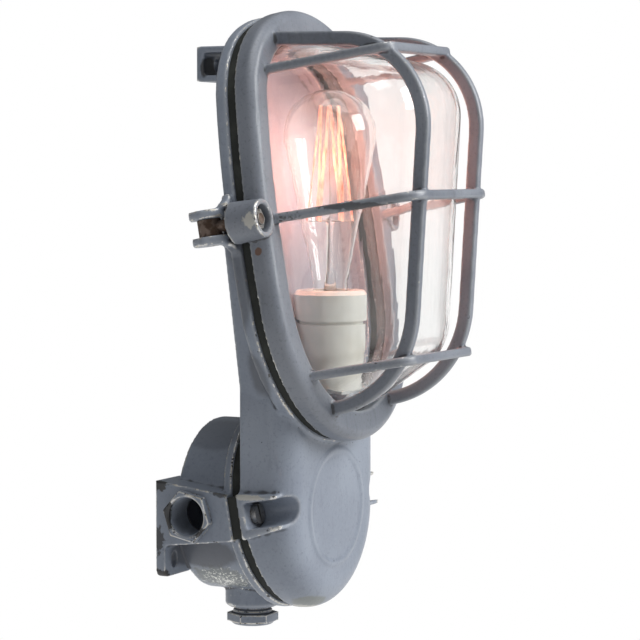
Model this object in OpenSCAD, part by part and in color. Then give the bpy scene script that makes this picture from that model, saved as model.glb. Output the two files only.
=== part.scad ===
// Industrial wall light: a cast junction box with a lamp head above it, a hinged oval
// guard over a clear glass dome, and a clear bulb standing in a porcelain holder.
// Millimetres. Z is up, the wall is the plane y = 0 and the light stands out towards -Y.
// The origin is the middle of the junction box's back, on the axis of its drum.

/* [Junction box] */
// Depth of the box from the wall to its front rim, on the axis
box_d = 58; // [52:1:64]
// Distance of the drum's back from the wall
box_back = 7; // [5:0.5:8]
// Lean of the joint between the box and the lamp body, in degrees
joint_tilt = 10; // [6:0.5:12]
// Radius of the raised seat on the drum's back, which lies against the wall
back_seat_r = 40; // [30:1:42]
// Thickness of the box's floor
box_floor = 4; // [3:0.5:4]
// Outside radius of the round drum
drum_r = 61; // [58:0.5:64]
// Wall thickness of the box casting
box_wall = 5; // [4:0.5:6]
// Radius of the rim that carries the gasket
rim_r = 71; // [70:0.5:72]
// Distance from the axis to the outer face of each side block
block_x = 77; // [76:0.5:80]
// Half height of a side block at the wall
block_h_wall = 23; // [21:0.5:25]
// Half height of a side block at the rim
block_h_rim = 16; // [15:0.5:17]
// Thickness of the two wall ears
ear_t = 7; // [5:0.5:8]
// Lowest point of the wall ears below the axis
ear_low = 44; // [42:1:48]
// Sideways distance of an ear slot from the axis
ear_slot_x = 64; // [62:1:66]
// Distance of an ear slot below the axis
ear_slot_z = 33; // [31:1:35]
// Width of an ear slot
ear_slot_w = 7; // [6:0.5:8]
// Length of an ear slot, end to end, upright
ear_slot_l = 11; // [9:0.5:12]
// Thickness of the gasket between the box and the lamp body
box_gasket_t = 7; // [5:0.5:8]

/* [Conduit entry and cable gland] */
// Distance of the conduit entry from the wall
entry_d = 27; // [24:0.5:28]
// Inside radius of the conduit bush
entry_r = 13.4; // [11:0.1:13.6]
// Radius of the conduit bush's thread
entry_thread_r = 15.4; // [15:0.1:16]
// Width of the conduit bush's hexagon across its flats
entry_flats = 32; // [32:0.5:36]
// Height of the conduit bush's hexagon
entry_hex_t = 6; // [5:0.5:8]
// Turn of the hexagonal bush, in degrees
entry_turn = 12; // [0:1:60]
// Radius of the gland boss under the box
gland_boss_r = 19.5; // [19:0.5:21]
// How far the gland boss stays behind the depth of the box
gland_gap = 4.5; // [2:0.5:6]
// How far the gland boss reaches below the axis
gland_boss_low = 73; // [70:1:78]
// Radius of the gland nut's thread
gland_thread_r = 14.4; // [13:0.1:15]
// Radius of the gland nut's smooth neck
gland_neck_r = 14; // [13.5:0.5:14.5]
// Height of the gland nut's smooth neck
gland_neck_h = 5; // [3:0.5:6]
// Width of the gland nut across its flats
gland_flats = 32; // [31:0.5:36]
// Height of the gland nut's hexagon
gland_hex_h = 8; // [7:0.5:12]
// Radius of the hole through the gland nut
gland_bore_r = 8; // [6:0.5:9]

/* [Cover and neck of the lamp body] */
// Radius of the round cover at its gasket
cover_r = 72; // [71:0.5:74]
// Radius of the round cover where its edge starts to turn
cover_front_r = 70; // [69:0.5:71]
// Depth of the cover from its gasket to its flat face
cover_d = 38; // [34:0.5:40]
// Radius of the turned edge between the side and the face
cover_edge_r = 20; // [16:0.5:22]
// Inside radius of the cover
cover_in_r = 57; // [55:0.5:58]
// Wall thickness of the lamp body casting
body_wall = 5; // [4:0.5:6]
// Middle radius of the raised line on the cover's face
line_r = 40; // [36:0.5:44]
// Width of the raised line
line_w = 2.6; // [2:0.1:4]
// How far the raised line stands above the face
line_h = 1; // [0.6:0.1:1.6]
// How far the raised line's centre lies above the axis
line_up = 2; // [0:0.5:3]
// Distance of the cover screws from the axis
screw_x = 62; // [61.5:0.5:63]
// Radius of a cover screw's head
screw_head_r = 6.8; // [6:0.2:7]
// Half height of a screw lug at the gasket
lug_h = 16; // [15:0.5:17]
// Half height of a screw lug at its front
lug_h_front = 11.5; // [11:0.5:12]
// Half height of the pocket in a screw lug
pocket_h = 9; // [8:0.5:9]
// Depth of a screw lug from the gasket
lug_d = 31; // [28:0.5:33]
// Thickness of a screw lug's floor under the screw head
lug_floor = 5; // [4:0.5:6]
// How far the neck's back lies behind the joint on the axis
neck_in = 2; // [1:0.5:3]

/* [Oval flange] */
// Backward lean of the head, in degrees
tilt = 10; // [6:0.5:14]
// Distance of the middle of the flange face from the wall
head_front = 78; // [74:0.5:82]
// Height of the middle of the flange face above the axis
head_z = 198; // [192:1:204]
// Full width of the oval
oval_w = 202; // [196:1:206]
// Full length of the oval
oval_l = 303; // [297:1:309]
// Radius of the oval's long sides
oval_side_r = 600; // [500:10:700]
// Radius of the oval's two upper corners
oval_corner_r = 72; // [68:0.5:73]
// Height of the upper corners' centres above the oval's centre
oval_corner_v = 75; // [72:0.5:76]
// Height of the widest place above the oval's centre
oval_wide_v = -28; // [-32:1:-24]
// Shift of the oval's centre along the flange
oval_up = -1.5; // [-3:0.5:0]
// Thickness of the flange plate
flange_t = 8; // [7:0.5:10]
// Width of the flange plate
flange_w = 23; // [21:0.5:25]
// Depth of the bowl behind the flange face
bowl_d = 27; // [24:0.5:30]
// How far the bowl's flat back lies inside the oval
bowl_in = 57; // [50:1:60]

/* [Guard] */
// Gap between the flange and the guard ring, filled by the glass gasket
gap_t = 7; // [6:0.5:8]
// Depth of the guard ring
ring_t = 15; // [13:0.5:17]
// Width of the guard ring
ring_w = 20; // [18:0.5:22]
// Radius of the ring's outer front edge
ring_edge_r = 7; // [5:0.5:9]
// Distance of each upright hoop from the middle
hoop_x = 44; // [40:0.5:48]
// Width of a hoop, seen from the front
hoop_w = 7; // [6:0.5:8]
// Depth of a hoop, seen from the side
hoop_t = 9.6; // [8:0.2:11]
// Height where a hoop leaves the top of the ring
hoop_top_v = 132; // [130:0.5:133]
// Height where a hoop leaves the bottom of the ring
hoop_low_v = -133; // [-135:0.5:-131]
// Inward lean of a hoop's top leg, in degrees
hoop_lean = 11.2; // [8:0.2:14]
// Lean of a hoop's front against the ring, in degrees
hoop_front_lean = 13.4; // [10:0.2:16]
// Distance of a hoop's outer front line from the flange, at the head's middle
hoop_front_d = 113.4; // [108:0.2:118]
// Outer radius of a hoop's upper bend
hoop_top_r = 64; // [56:1:68]
// Outer radius of a hoop's lower bend
hoop_low_r = 76; // [66:1:80]
// Height of each cross bar, from top to bottom
bar_v = [105, 3.5, -104];
// Distance of each cross bar's front from the flange
bar_front_d = [108.5, 116, 88.5];
// Half width of each cross bar at its front corners
bar_corner_x = [51, 60.5, 54];
// Half width of each cross bar at the ring
bar_foot_x = [69.3, 91, 73.1];
// Outer radius of each cross bar's bends
bar_bend_r = [9, 20, 13];
// Height of a cross bar
bar_h = 6.4; // [5:0.2:8]
// Depth of a cross bar
bar_t = 8; // [6.5:0.5:9]

/* [Hinge and closing screw] */
// Sideways distance of both bosses from the middle
boss_x = 105; // [104:0.5:107]
// Height of both bosses above the head's middle
boss_v = 4; // [2:0.5:6]
// Radius of a boss at its back
boss_r_back = 14.4; // [13.5:0.1:15]
// Radius of a boss at its front
boss_r_front = 12.9; // [12.5:0.1:13.5]
// Distance of a boss's front face from the flange
boss_front_d = 24; // [23:0.5:26]
// Radius of the recess in a boss
boss_bore_r = 9.4; // [9:0.1:9.6]
// Depth of the seat in a boss, measured from the flange
boss_seat_d = 12; // [11:0.5:13]
// Distance of the hinge pin behind the flange face
pin_back = 18; // [17:0.5:20]
// Radius of the hinge pin
pin_r = 3; // [2.5:0.1:3.5]
// Running clearance between the hinge pin and the eye
pin_gap = 0.05; // [0.02:0.01:0.1]
// Radius of the eye
eye_r = 8; // [7:0.5:8.5]
// Height of the eye
eye_h = 11.2; // [10:0.2:12]
// Clearance above and below the eye
eye_gap = 0.3; // [0.2:0.1:0.5]
// Thickness of each fork plate
fork_t = 6; // [5:0.5:7]
// Radius of the fork plates' rounded ends
fork_r = 13; // [12:0.5:14]
// Nominal radius of the eye bolt and the closing screw
bolt_r = 4; // [3:0.5:4]
// Root radius of the closing screw's thread
bolt_root_r = 3.24; // [2.4:0.01:3.3]
// Width of the hexagons across their flats
hex_flats = 13; // [10:0.5:13]

/* [Top wall lug] */
// Height of the lug's middle above the axis
top_lug_z = 312; // [308:1:316]
// Height of the lug
top_lug_h = 25; // [22:0.5:28]
// Half width of the lug
top_lug_x = 19; // [16:0.5:21]
// Thickness of the lug's wall pad
top_lug_t = 6; // [5:0.5:8]
// Radius of the hole for the wall screw
top_hole_r = 3.6; // [3:0.1:4]

/* [Glass dome] */
// How far the dome's side lies inside the oval
dome_in = 22; // [21:0.5:24]
// How far the dome's rim reaches outside its side
dome_rim = 12; // [10:0.5:13]
// Thickness of the dome's rim
dome_rim_t = 4.5; // [4:0.25:5]
// Wall thickness of the dome
dome_wall = 4; // [3:0.5:5]
// Radius of the dome's rounded front edges
dome_edge_r = 38; // [32:1:40]

/* [Lampholder and bulb] */
// Clearance between the porcelain holder and the neck's back wall
holder_gap = 2; // [1.5:0.5:4]
// Radius of the porcelain holder
holder_r = 26; // [24:0.5:27]
// Height of the holder's foot above the axis
holder_z = 86; // [84:1:90]
// Height of the porcelain base
holder_base_h = 47; // [42:1:48]
// Height of the porcelain collar
holder_collar_h = 21; // [18:1:22]
// Radius of the bulb's screw cap
cap_r = 13.1; // [13:0.05:13.1]
// Radius of the bulb's round top
bulb_r = 32; // [30:0.5:34]
// Height of the centre of the bulb's round top above the axis
bulb_z = 262; // [256:1:266]
// Wall thickness of the bulb
bulb_wall = 0.8; // [0.6:0.1:1.2]
// Number of wires in the filament cage
filament_n = 12; // [8:2:16]

/* [Hidden] */
// Smoothness of round shapes in the preview
$fn = 72;
// Colours of the materials
paint = [0.56, 0.59, 0.65];
steel = [0.42, 0.40, 0.38];
brown = [0.30, 0.23, 0.18];
rubber = [0.09, 0.10, 0.09];
porcelain = [0.93, 0.91, 0.87];
brass = [0.78, 0.62, 0.30];
clear = [0.86, 0.90, 0.90, 0.35];
glow = [1.0, 0.62, 0.25];
// Distance of the lamp body's back plane from the wall
body_back = box_d + box_gasket_t - neck_in;
// Distance of the cover's flat face from the wall
face_d = body_back + cover_d;
// Distance of the gland's axis and of the bulb's axis from the wall
gland_d = box_d - gland_boss_r - gland_gap;
lamp_d = body_back + body_wall + holder_gap + holder_r;
// Inner face of the box's floor
box_in = box_back + box_floor;
// How far the cover screws reach into the box behind the joint
screw_bite = 10;
// Half width and half length of the oval
ow = oval_w / 2;
ol = oval_l / 2;
// Sideways offset of the side arcs' centres
side_c = oval_side_r - ow;
// Height of the widest place
side_v = oval_up + oval_wide_v;
// Bottom arc, tangent to both side arcs
low_h = side_v - (oval_up - ol);
low_r = (pow(oval_side_r, 2) - pow(side_c, 2) - pow(low_h, 2)) / (2 * (oval_side_r - low_h));
low_v = oval_up - ol + low_r;
// Upper corner arcs, tangent to the side arcs
corner_v = oval_up + oval_corner_v;
corner_x = sqrt(pow(oval_side_r - oval_corner_r, 2) - pow(corner_v - side_v, 2)) - side_c;
// Crown arc, tangent to both corner arcs
crown_m = oval_up + ol - corner_v;
crown_r = (pow(corner_x, 2) + pow(crown_m, 2) - pow(oval_corner_r, 2)) / (2 * (crown_m - oval_corner_r));
crown_v = oval_up + ol - crown_r;
// Angles at which the arcs meet
a_low = atan2(low_v - side_v, side_c);
a_side = atan2(corner_v - side_v, corner_x + side_c);
a_corner = atan2(corner_v - crown_v, corner_x);
// Inset of the flange's outer edge from the guard's oval
flange_in = 1;
// Distances in front of the flange
ring_back = gap_t;
ring_front = gap_t + ring_t;
// Seat for the rim of the dome in the back of the ring
seat_w = dome_rim + 2;
rim_back = gap_t + 0.2;
seat_front = rim_back + dome_rim_t + 1.8;
// Gap left between the gasket and the flange, so that the guard can turn
seal_gap = 0.3;
// Half gap between the fork plates
fork_gap = eye_h / 2 + eye_gap;
// Heights on the bulb's axis
collar_z = holder_z + holder_base_h;
holder_top = collar_z + holder_collar_h;
shell_low = holder_top - 40;
cap_low = holder_top - 30;
fit = 0.1;
touch = 0.02;
// Growth of the sections that swallow the ends of their neighbours
hair = 0.05;

// Places children with x to the right, y up and z away from the wall
module fwd() {
  rotate([90, 0, 0]) children();
}

// Places children in the leaning head: x to the right, y up the flange, z out of the flange
module head() {
  translate([0, -head_front, head_z])
    rotate([90 - tilt, 0, 0])
      children();
}

// Places children on the leaning face between box and cover: y up the face, z out of the box
module joint() {
  translate([0, -box_d, 0]) rotate([90 - joint_tilt, 0, 0]) children();
}

// Places children on the bulb's axis
module lamp_axis() {
  translate([0, -lamp_d, 0]) children();
}

// Mirrors children to both sides
module both() {
  children();
  mirror([1, 0, 0]) children();
}

// A hexagonal prism by its width across the flats
module hexagon(flats, h) {
  cylinder(r = flats / sqrt(3), h = h, $fn = 6);
}

// Sweeps a profile along one arc
module arc_sweep(c, r, a0, a1) {
  translate([c[0], c[1], 0])
    rotate([0, 0, a0])
      rotate_extrude(angle = a1 - a0, $fn = r > 300 ? 300 : 96)
        translate([r, 0])
          children();
}

// Sweeps a profile around the oval: profile x = 0 lies on the oval, negative is inside.
// The long arcs take the first child. The corners and the bottom take the second one, which is
// a hair larger and swallows the ends of the long arcs.
module oval_sweep() {
  both() {
    arc_sweep([-side_c, side_v], oval_side_r, a_low - 0.1, a_side + 0.1) children(0);
    arc_sweep([corner_x, corner_v], oval_corner_r, a_side, a_corner) children(1);
  }
  arc_sweep([0, crown_v], crown_r, a_corner - 0.5, 180.5 - a_corner) children(0);
  arc_sweep([0, low_v], low_r, 180 - a_low, 360 + a_low) children(1);
}

// Points of one arc, then of the whole oval, moved inwards by an inset
function arc_points(c, r, a0, a1, n) =
  [for (i = [0:n - 1]) let (a = a0 + (a1 - a0) * (i + 0.5) / n) [c[0] + r * cos(a), c[1] + r * sin(a)]];
function oval_points(inset) = concat(
  arc_points([-side_c, side_v], oval_side_r - inset, a_low, a_side, 5),
  arc_points([corner_x, corner_v], oval_corner_r - inset, a_side, a_corner, 5),
  arc_points([0, crown_v], crown_r - inset, a_corner, 180 - a_corner, 5),
  arc_points([-corner_x, corner_v], oval_corner_r - inset, 180 - a_corner, 180 - a_side, 5),
  arc_points([side_c, side_v], oval_side_r - inset, 180 - a_side, 180 - a_low, 5),
  arc_points([0, low_v], low_r - inset, 180 - a_low, 360 + a_low, 16)
);

// A thin or thick plate with the oval's outline
module oval_plate(inset, z, h) {
  translate([0, 0, z])
    linear_extrude(height = h)
      polygon(oval_points(inset));
}

// A slotted or round screw head on top of the plane z = 0, with its shank below
module slotted_screw(head_r, head_h, shank_r, shank_l, slot_w) {
  difference() {
    union() {
      cylinder(r = head_r, h = head_h);
      translate([0, 0, -shank_l]) cylinder(r = shank_r, h = shank_l + touch);
    }
    translate([-head_r - 1, -slot_w / 2, head_h * 0.45]) cube([2 * head_r + 2, slot_w, head_h]);
  }
}

// One side block of the box, running from the axis to the left and past the joint
module side_block() {
  past = 12;
  h_end = block_h_rim - (block_h_wall - block_h_rim) * past / box_d;
  translate([-block_x, 0, 0])
    rotate([0, 90, 0])
      linear_extrude(height = block_x)
        polygon([
          [0, -block_h_wall], [0, block_h_wall],
          [-box_d - past, h_end], [-box_d - past, -h_end]
        ]);
}

// Distance of the wall pads' inner edges from the axis
pad_in = 44;

// Outline of one wall ear with its rounded lower corner
module ear() {
  corner = 4;
  linear_extrude(height = ear_t) {
    translate([-block_x + corner, -ear_low]) square([block_x - pad_in, 40]);
    translate([-block_x, -ear_low + corner]) square([block_x - pad_in, 40 - corner]);
    translate([-block_x + corner, -ear_low + corner]) circle(r = corner);
  }
}

// Upright slot through an ear
module ear_slot() {
  run = ear_slot_l - ear_slot_w;
  translate([-ear_slot_x, -ear_slot_z, -1])
    linear_extrude(height = ear_t + 2) {
      translate([0, run / 2]) circle(d = ear_slot_w);
      translate([0, -run / 2]) circle(d = ear_slot_w);
      translate([-ear_slot_w / 2, -run / 2]) square([ear_slot_w, run]);
    }
}

// Drum, rim, side blocks, wall pads and gland boss, before the joint's face is cut
module box_solid() {
  rim_t = 6;
  flare = 4;
  fwd() {
    translate([0, 0, box_back]) cylinder(r = drum_r, h = box_d + 20 - box_back);
    cylinder(r = back_seat_r, h = box_back + 1);
    both() {
      side_block();
      ear();
    }
    translate([0, 0, gland_d]) rotate([90, 0, 0]) cylinder(r = gland_boss_r, h = gland_boss_low - 2);
    translate([0, -gland_boss_low + 2, gland_d])
      rotate([90, 0, 0])
        cylinder(r1 = gland_boss_r, r2 = gland_boss_r - 2, h = 2);
  }
  joint() {
    translate([0, 0, -rim_t - flare]) cylinder(r1 = drum_r - 1, r2 = rim_r, h = flare);
    translate([0, 0, -rim_t]) cylinder(r = rim_r, h = rim_t + 1);
  }
}

module junction_box() {
  color(paint)
    difference() {
      box_solid();
      joint() {
        translate([-100, -100, 0]) cube([200, 200, 60]);
        both() translate([-screw_x, 0, -screw_bite - 1]) cylinder(r = 3.05, h = 30);
      }
      fwd() {
        difference() {
          translate([-pad_in, -100, -1]) cube([2 * pad_in, 200, box_back + 1]);
          translate([0, 0, -2]) cylinder(r = back_seat_r, h = box_back + 4);
        }
        translate([0, 0, box_in]) cylinder(r = drum_r - box_wall, h = box_d + 30);
        both() ear_slot();
        translate([-block_x - 1, 0, entry_d])
          rotate([0, 90, 0])
            cylinder(r = entry_thread_r + 0.05, h = block_x);
        translate([0, 0, gland_d])
          rotate([90, 0, 0]) {
            cylinder(r = gland_bore_r + 1, h = gland_boss_low + 1);
            translate([0, 0, gland_boss_low - 16]) cylinder(r = gland_thread_r + 0.05, h = 17);
          }
        terminal_hole_cut();
      }
    }
  color(paint)
    fwd()
      terminal_posts();
}

// Positions of the screws that hold the terminal block, and of the earth screw
block_screw_x = 8.75;
block_z = 26;
earth_pos = [30, -18];
post_h = 4;

// Blind holes in the back wall for the terminal block and the earth screw
module terminal_hole_cut() {
  translate([earth_pos[0], earth_pos[1], box_back + 1]) cylinder(r = 2.5, h = box_floor);
}

// Short posts that carry the terminal block
module terminal_posts() {
  both()
    translate([block_screw_x, block_z, box_in - 0.5])
      difference() {
        cylinder(r = 5, h = post_h + 0.5);
        translate([0, 0, 0.6]) cylinder(r = 1.75, h = post_h + 1);
      }
}

module box_gasket() {
  color(rubber)
    joint()
      difference() {
        union() {
          cylinder(r = rim_r - 2, h = box_gasket_t);
          both() translate([-block_x + 1.5, -lug_h + 1.5, 0]) cube([20, 2 * lug_h - 3, box_gasket_t]);
        }
        translate([0, 0, -1]) cylinder(r = cover_in_r, h = box_gasket_t + 2);
        both() translate([-screw_x, 0, -1]) cylinder(r = 3.4, h = box_gasket_t + 2);
      }
}

module conduit_bush() {
  thread_l = block_x - sqrt(pow(drum_r - box_wall, 2) - pow(entry_thread_r, 2)) - 2;
  color(paint)
    fwd()
      translate([-block_x, 0, entry_d])
        rotate([0, 90, 0])
          difference() {
            union() {
              translate([0, 0, -entry_hex_t]) rotate([0, 0, entry_turn]) hexagon(entry_flats, entry_hex_t);
              cylinder(r = entry_thread_r, h = thread_l);
            }
            translate([0, 0, -entry_hex_t - 1]) cylinder(r = entry_r, h = entry_hex_t + thread_l + 2);
            translate([0, 0, -entry_hex_t - 0.01]) cylinder(r1 = entry_r + 1, r2 = entry_r, h = 1);
          }
}

// Heights of the gland's pieces below the axis
gland_seat = gland_boss_low - 16;
seal_h = 7;
washer_h = 1.5;

module gland_seal() {
  color(rubber)
    translate([0, -gland_d, -gland_seat - seal_h])
      difference() {
        cylinder(r = gland_thread_r - 0.3, h = seal_h);
        translate([0, 0, -1]) cylinder(r = gland_bore_r - 0.5, h = seal_h + 2);
      }
}

module gland_washer() {
  color(steel)
    translate([0, -gland_d, -gland_seat - seal_h - washer_h])
      difference() {
        cylinder(r = gland_thread_r - 0.3, h = washer_h);
        translate([0, 0, -1]) cylinder(r = gland_bore_r, h = washer_h + 2);
      }
}

module gland_nut() {
  thread_h = gland_boss_low - gland_seat - seal_h - washer_h;
  color(paint)
    translate([0, -gland_d, -gland_boss_low])
      difference() {
        union() {
          cylinder(r = gland_thread_r, h = thread_h);
          translate([0, 0, -gland_neck_h]) cylinder(r = gland_neck_r, h = gland_neck_h);
          translate([0, 0, -gland_neck_h - gland_hex_h + 2]) hexagon(gland_flats, gland_hex_h - 2);
          translate([0, 0, -gland_neck_h - gland_hex_h])
            cylinder(r1 = gland_flats / 2 - 2, r2 = gland_flats / 2, h = 2);
        }
        translate([0, 0, -gland_neck_h - gland_hex_h - 1])
          cylinder(r = gland_bore_r, h = gland_neck_h + gland_hex_h + thread_h + 2);
        translate([0, 0, -2.6])
          difference() {
            cylinder(r = gland_neck_r + 1, h = 1.6);
            translate([0, 0, -1]) cylinder(r = gland_neck_r - 1.2, h = 4);
          }
      }
}

// Size of the ceramic terminal block
block_l = 44;
block_w = 20;
block_h = 17;
block_back = box_in + post_h;

module terminal_block() {
  color(porcelain)
    fwd()
      translate([0, block_z, block_back])
        difference() {
          union() {
            translate([-block_l / 2, -block_w / 2, 0]) cube([block_l, block_w, 9]);
            for (x = [-22, -4.5, 13])
              translate([x, -block_w / 2, 0]) cube([9, block_w, block_h]);
          }
          both() translate([block_screw_x, 0, -1]) cylinder(r = 2.1, h = 30);
          for (x = [-17.5, 0, 17.5]) {
            translate([x, -block_w, 9]) rotate([-90, 0, 0]) cylinder(r = 2.6, h = 2 * block_w);
            for (y = [-5, 5]) translate([x, y, 9]) cylinder(r = 1.9, h = 20);
          }
        }
}

module terminal_screws() {
  color(brass)
    fwd()
      for (x = [-17.5, 0, 17.5], y = [-5, 5])
        translate([x, block_z + y, block_back + 12])
          difference() {
            cylinder(r = 1.8, h = 4);
            translate([-3, -0.4, 3]) cube([6, 0.8, 2]);
          }
}

module terminal_block_screws() {
  color(steel)
    fwd()
      both()
        translate([block_screw_x, block_z, block_back + 9])
          slotted_screw(3.2, 2.2, 1.7, 12, 0.9);
}

module earth_washer() {
  color(brass)
    fwd()
      translate([earth_pos[0], earth_pos[1], box_in])
        difference() {
          cylinder(r = 5.5, h = 1.2);
          translate([0, 0, -1]) cylinder(r = 2.6, h = 4);
        }
}

module earth_screw() {
  color(brass)
    fwd()
      translate([earth_pos[0], earth_pos[1], box_in + 1.2])
        slotted_screw(4.4, 3, 2.45, 4, 1.1);
}

// Section of the cover from its axis outwards, with depth 0 at its back
module cover_section() {
  polygon([
    [0, 0], [cover_r, 0],
    [cover_front_r, cover_d - cover_edge_r], [0, cover_d - cover_edge_r]
  ]);
  square([cover_front_r - cover_edge_r, cover_d]);
  translate([cover_front_r - cover_edge_r, cover_d - cover_edge_r])
    circle(r = cover_edge_r);
}

// Half of the same section, so that it can be turned about the axis
module cover_half() {
  intersection() {
    cover_section();
    square([cover_r + 1, cover_d + 1]);
  }
}

// Solid of the round cover and of the neck above it
neck_top = 128;
module cover_solid() {
  fwd()
    translate([0, 0, body_back])
      rotate_extrude($fn = 144)
        cover_half();
  joint() translate([0, 0, box_gasket_t - 1]) cylinder(r = cover_r - 0.5, h = 15);
  intersection() {
    linear_extrude(height = neck_top)
      both()
        translate([0, -body_back])
          mirror([0, 1])
            cover_half();
    head() translate([-150, -400, -200]) cube([300, 600, 198]);
  }
}

// Loft of the neck into the bowl
module shoulder() {
  hull() {
    translate([-cover_r + 1, -body_back - 20, 84]) cube([2 * cover_r - 2, 20, 2]);
    translate([-cover_r + 1, -body_back - 22, neck_top - 12]) cube([2 * cover_r - 2, 22, 2]);
    head() oval_slice(10, 2, flange_in + 1.5, -13, -6);
  }
}

// A slice of the oval between two heights, used as one end of a loft
module oval_slice(v, dv, inset, z0, z1) {
  intersection() {
    oval_plate(inset, z0, z1 - z0);
    translate([-200, v, -100]) cube([400, dv, 200]);
  }
}

// Solid of the shallow bowl behind the flange
module bowl_solid() {
  head()
    hull() {
      oval_plate(flange_in + 1.5, -flange_t - 1, 2);
      oval_plate(bowl_in, -bowl_d, 1);
    }
}

// Flange plate with a small raised lip along its outer edge
module flange_section(g) {
  translate([-flange_in - flange_w - g, -flange_t - g])
    square([flange_w + 2 * g, flange_t + 2 * g]);
}
module flange() {
  head()
    oval_sweep() {
      flange_section(0);
      flange_section(hair);
    }
}

// Space inside the lamp body
module body_cavity() {
  inner_edge = cover_edge_r - body_wall;
  back_run = 18;
  fwd()
    translate([0, 0, body_back - 1]) {
      translate([0, 0, -back_run])
        cylinder(r = cover_in_r, h = back_run + cover_d - body_wall - inner_edge + 1);
      rotate_extrude($fn = 96)
        intersection() {
          union() {
            square([cover_in_r - inner_edge, cover_d - body_wall + 1]);
            translate([cover_in_r - inner_edge, cover_d - body_wall - inner_edge + 1])
              circle(r = inner_edge);
          }
          square([cover_in_r, cover_d]);
        }
    }
  intersection() {
    translate([-cover_in_r, -face_d + body_wall, 20])
      cube([2 * cover_in_r, cover_d - 2 * body_wall, neck_top + 10]);
    head() translate([-150, -400, -200]) cube([300, 600, 200]);
  }
  head() {
    hull() {
      oval_plate(flange_in + flange_w + 1.5, -flange_t - 1.5, 1);
      oval_plate(bowl_in + 5, -bowl_d + body_wall, 1);
    }
    oval_plate(flange_in + flange_w + 1.5, -flange_t - 1, flange_t + 2);
  }
}

// One screw lug on the left of the cover, which also walls the pocket off inside
module cover_lug() {
  joint()
    translate([-block_x, 0, box_gasket_t])
      rotate([0, 90, 0])
        linear_extrude(height = block_x - pocket_in + body_wall - 1)
          polygon([[0, -lug_h], [0, lug_h], [-lug_d, lug_h_front], [-lug_d, -lug_h_front]]);
}

// Pocket for the head of one cover screw, open to the front and to the side
pocket_in = screw_x - screw_head_r - 1;
module lug_pocket() {
  run = block_x + 1 - pocket_in;
  joint()
    translate([-block_x - 1, 0, box_gasket_t + lug_floor])
      linear_extrude(height = cover_d) {
        translate([0, -pocket_h]) square([run - pocket_h, 2 * pocket_h]);
        translate([run - pocket_h, 0]) circle(r = pocket_h);
      }
}

// One fork plate in the plane across the hinge pin, drawn as x and depth
module fork_outline() {
  translate([-boss_x, -pin_back]) circle(r = fork_r);
  polygon([
    [-boss_x - fork_r + 0.3, -pin_back - 2], [-ow + flange_in - 1.5, -1.2],
    [-ow + 14, -1.2], [-ow + 14, -flange_t - 2],
    [-boss_x + fork_r * 0.55, -pin_back - fork_r * 0.8]
  ]);
}

// Both fork plates with the fillets that carry them
module fork() {
  head() {
    for (s = [0, 1])
      translate([0, boss_v + (s == 0 ? fork_gap + fork_t : -fork_gap), 0])
        rotate([90, 0, 0])
          linear_extrude(height = fork_t)
            fork_outline();
    for (s = [-1, 1])
      translate([-ow + 1.2, boss_v + s * (fork_gap + fork_t), -flange_t])
        difference() {
          translate([-9, s > 0 ? 0 : -15, 0]) cube([9, 15, flange_t - 1.2]);
          translate([-14, s * 18, -1]) cylinder(r = 16.5, h = flange_t + 2);
        }
  }
}

// Tapped lug on the right for the closing screw
lug_front = 3;
lug_back = 17;
module closing_lug() {
  head()
    translate([0, boss_v, 0]) {
      translate([boss_x, 0, -lug_back]) cylinder(r = 10.5, h = lug_back - lug_front);
      translate([ow - 14, -10.5, -lug_back + 5]) cube([boss_x - ow + 14, 21, lug_back - lug_front - 5]);
    }
}

// Loop at the top that meets the wall
module top_lug() {
  reach = head_front - (top_lug_z - head_z) * tan(tilt) + bowl_d / 3 - 22;
  web = 4.5;
  r = 5;
  translate([0, 0, top_lug_z]) {
    for (s = [-1, 1])
      translate([-top_lug_x, -reach - 8, s * (top_lug_h - web) / 2 - web / 2])
        cube([2 * top_lug_x, reach + 8 - 1, web]);
    rotate([90, 0, 0])
      linear_extrude(height = top_lug_t)
        square([2 * top_lug_x, top_lug_h], center = true);
    translate([0, -reach, 0]) cube([2 * top_lug_x, 14, top_lug_h], center = true);
  }
}

// Posts inside the neck for the holder bracket
post_x = 16;
post_z = 76;
post_front = body_back + body_wall + 5;
module bracket_posts() {
  for (s = [-1, 1])
    translate([s * post_x, -body_back - body_wall + 1, post_z])
      rotate([90, 0, 0])
        difference() {
          cylinder(r = 5, h = post_front - body_back - body_wall + 1);
          translate([0, 0, 1.5]) cylinder(r = 2, h = 20);
        }
}

module lamp_body() {
  color(paint)
    difference() {
      union() {
        difference() {
          union() {
            cover_solid();
            shoulder();
            bowl_solid();
            flange();
            fork();
            closing_lug();
            top_lug();
          }
          body_cavity();
        }
        both() cover_lug();
        bracket_posts();
        fwd()
          translate([0, line_up, face_d])
            rotate_extrude($fn = 96)
              translate([line_r - line_w / 2, -0.5])
                square([line_w, line_h + 0.5]);
      }
      both() {
        lug_pocket();
        joint()
          translate([-screw_x, 0, box_gasket_t - 1])
            cylinder(r = 3.4, h = lug_floor + 2);
      }
      joint() translate([-100, -100, box_gasket_t - 60]) cube([200, 178, 60]);
      head()
        translate([0, boss_v, 0]) {
          translate([-boss_x, fork_gap + fork_t + 1, -pin_back])
            rotate([90, 0, 0])
              cylinder(r = pin_r, h = 2 * (fork_gap + fork_t + 1));
          translate([boss_x, 0, -lug_back - 1]) cylinder(r = bolt_r, h = lug_back);
        }
      translate([0, 1, top_lug_z]) rotate([90, 0, 0]) cylinder(r = top_hole_r, h = top_lug_t + 2);
    }
}

// A cover screw at distance x from the axis, with its slot turned by an angle
module cover_screw(x, turn) {
  color(steel)
    joint()
      translate([x, 0, box_gasket_t + lug_floor])
        rotate([0, 0, turn])
          slotted_screw(screw_head_r, 4, 3, box_gasket_t + lug_floor + screw_bite, 1.8);
}

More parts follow.
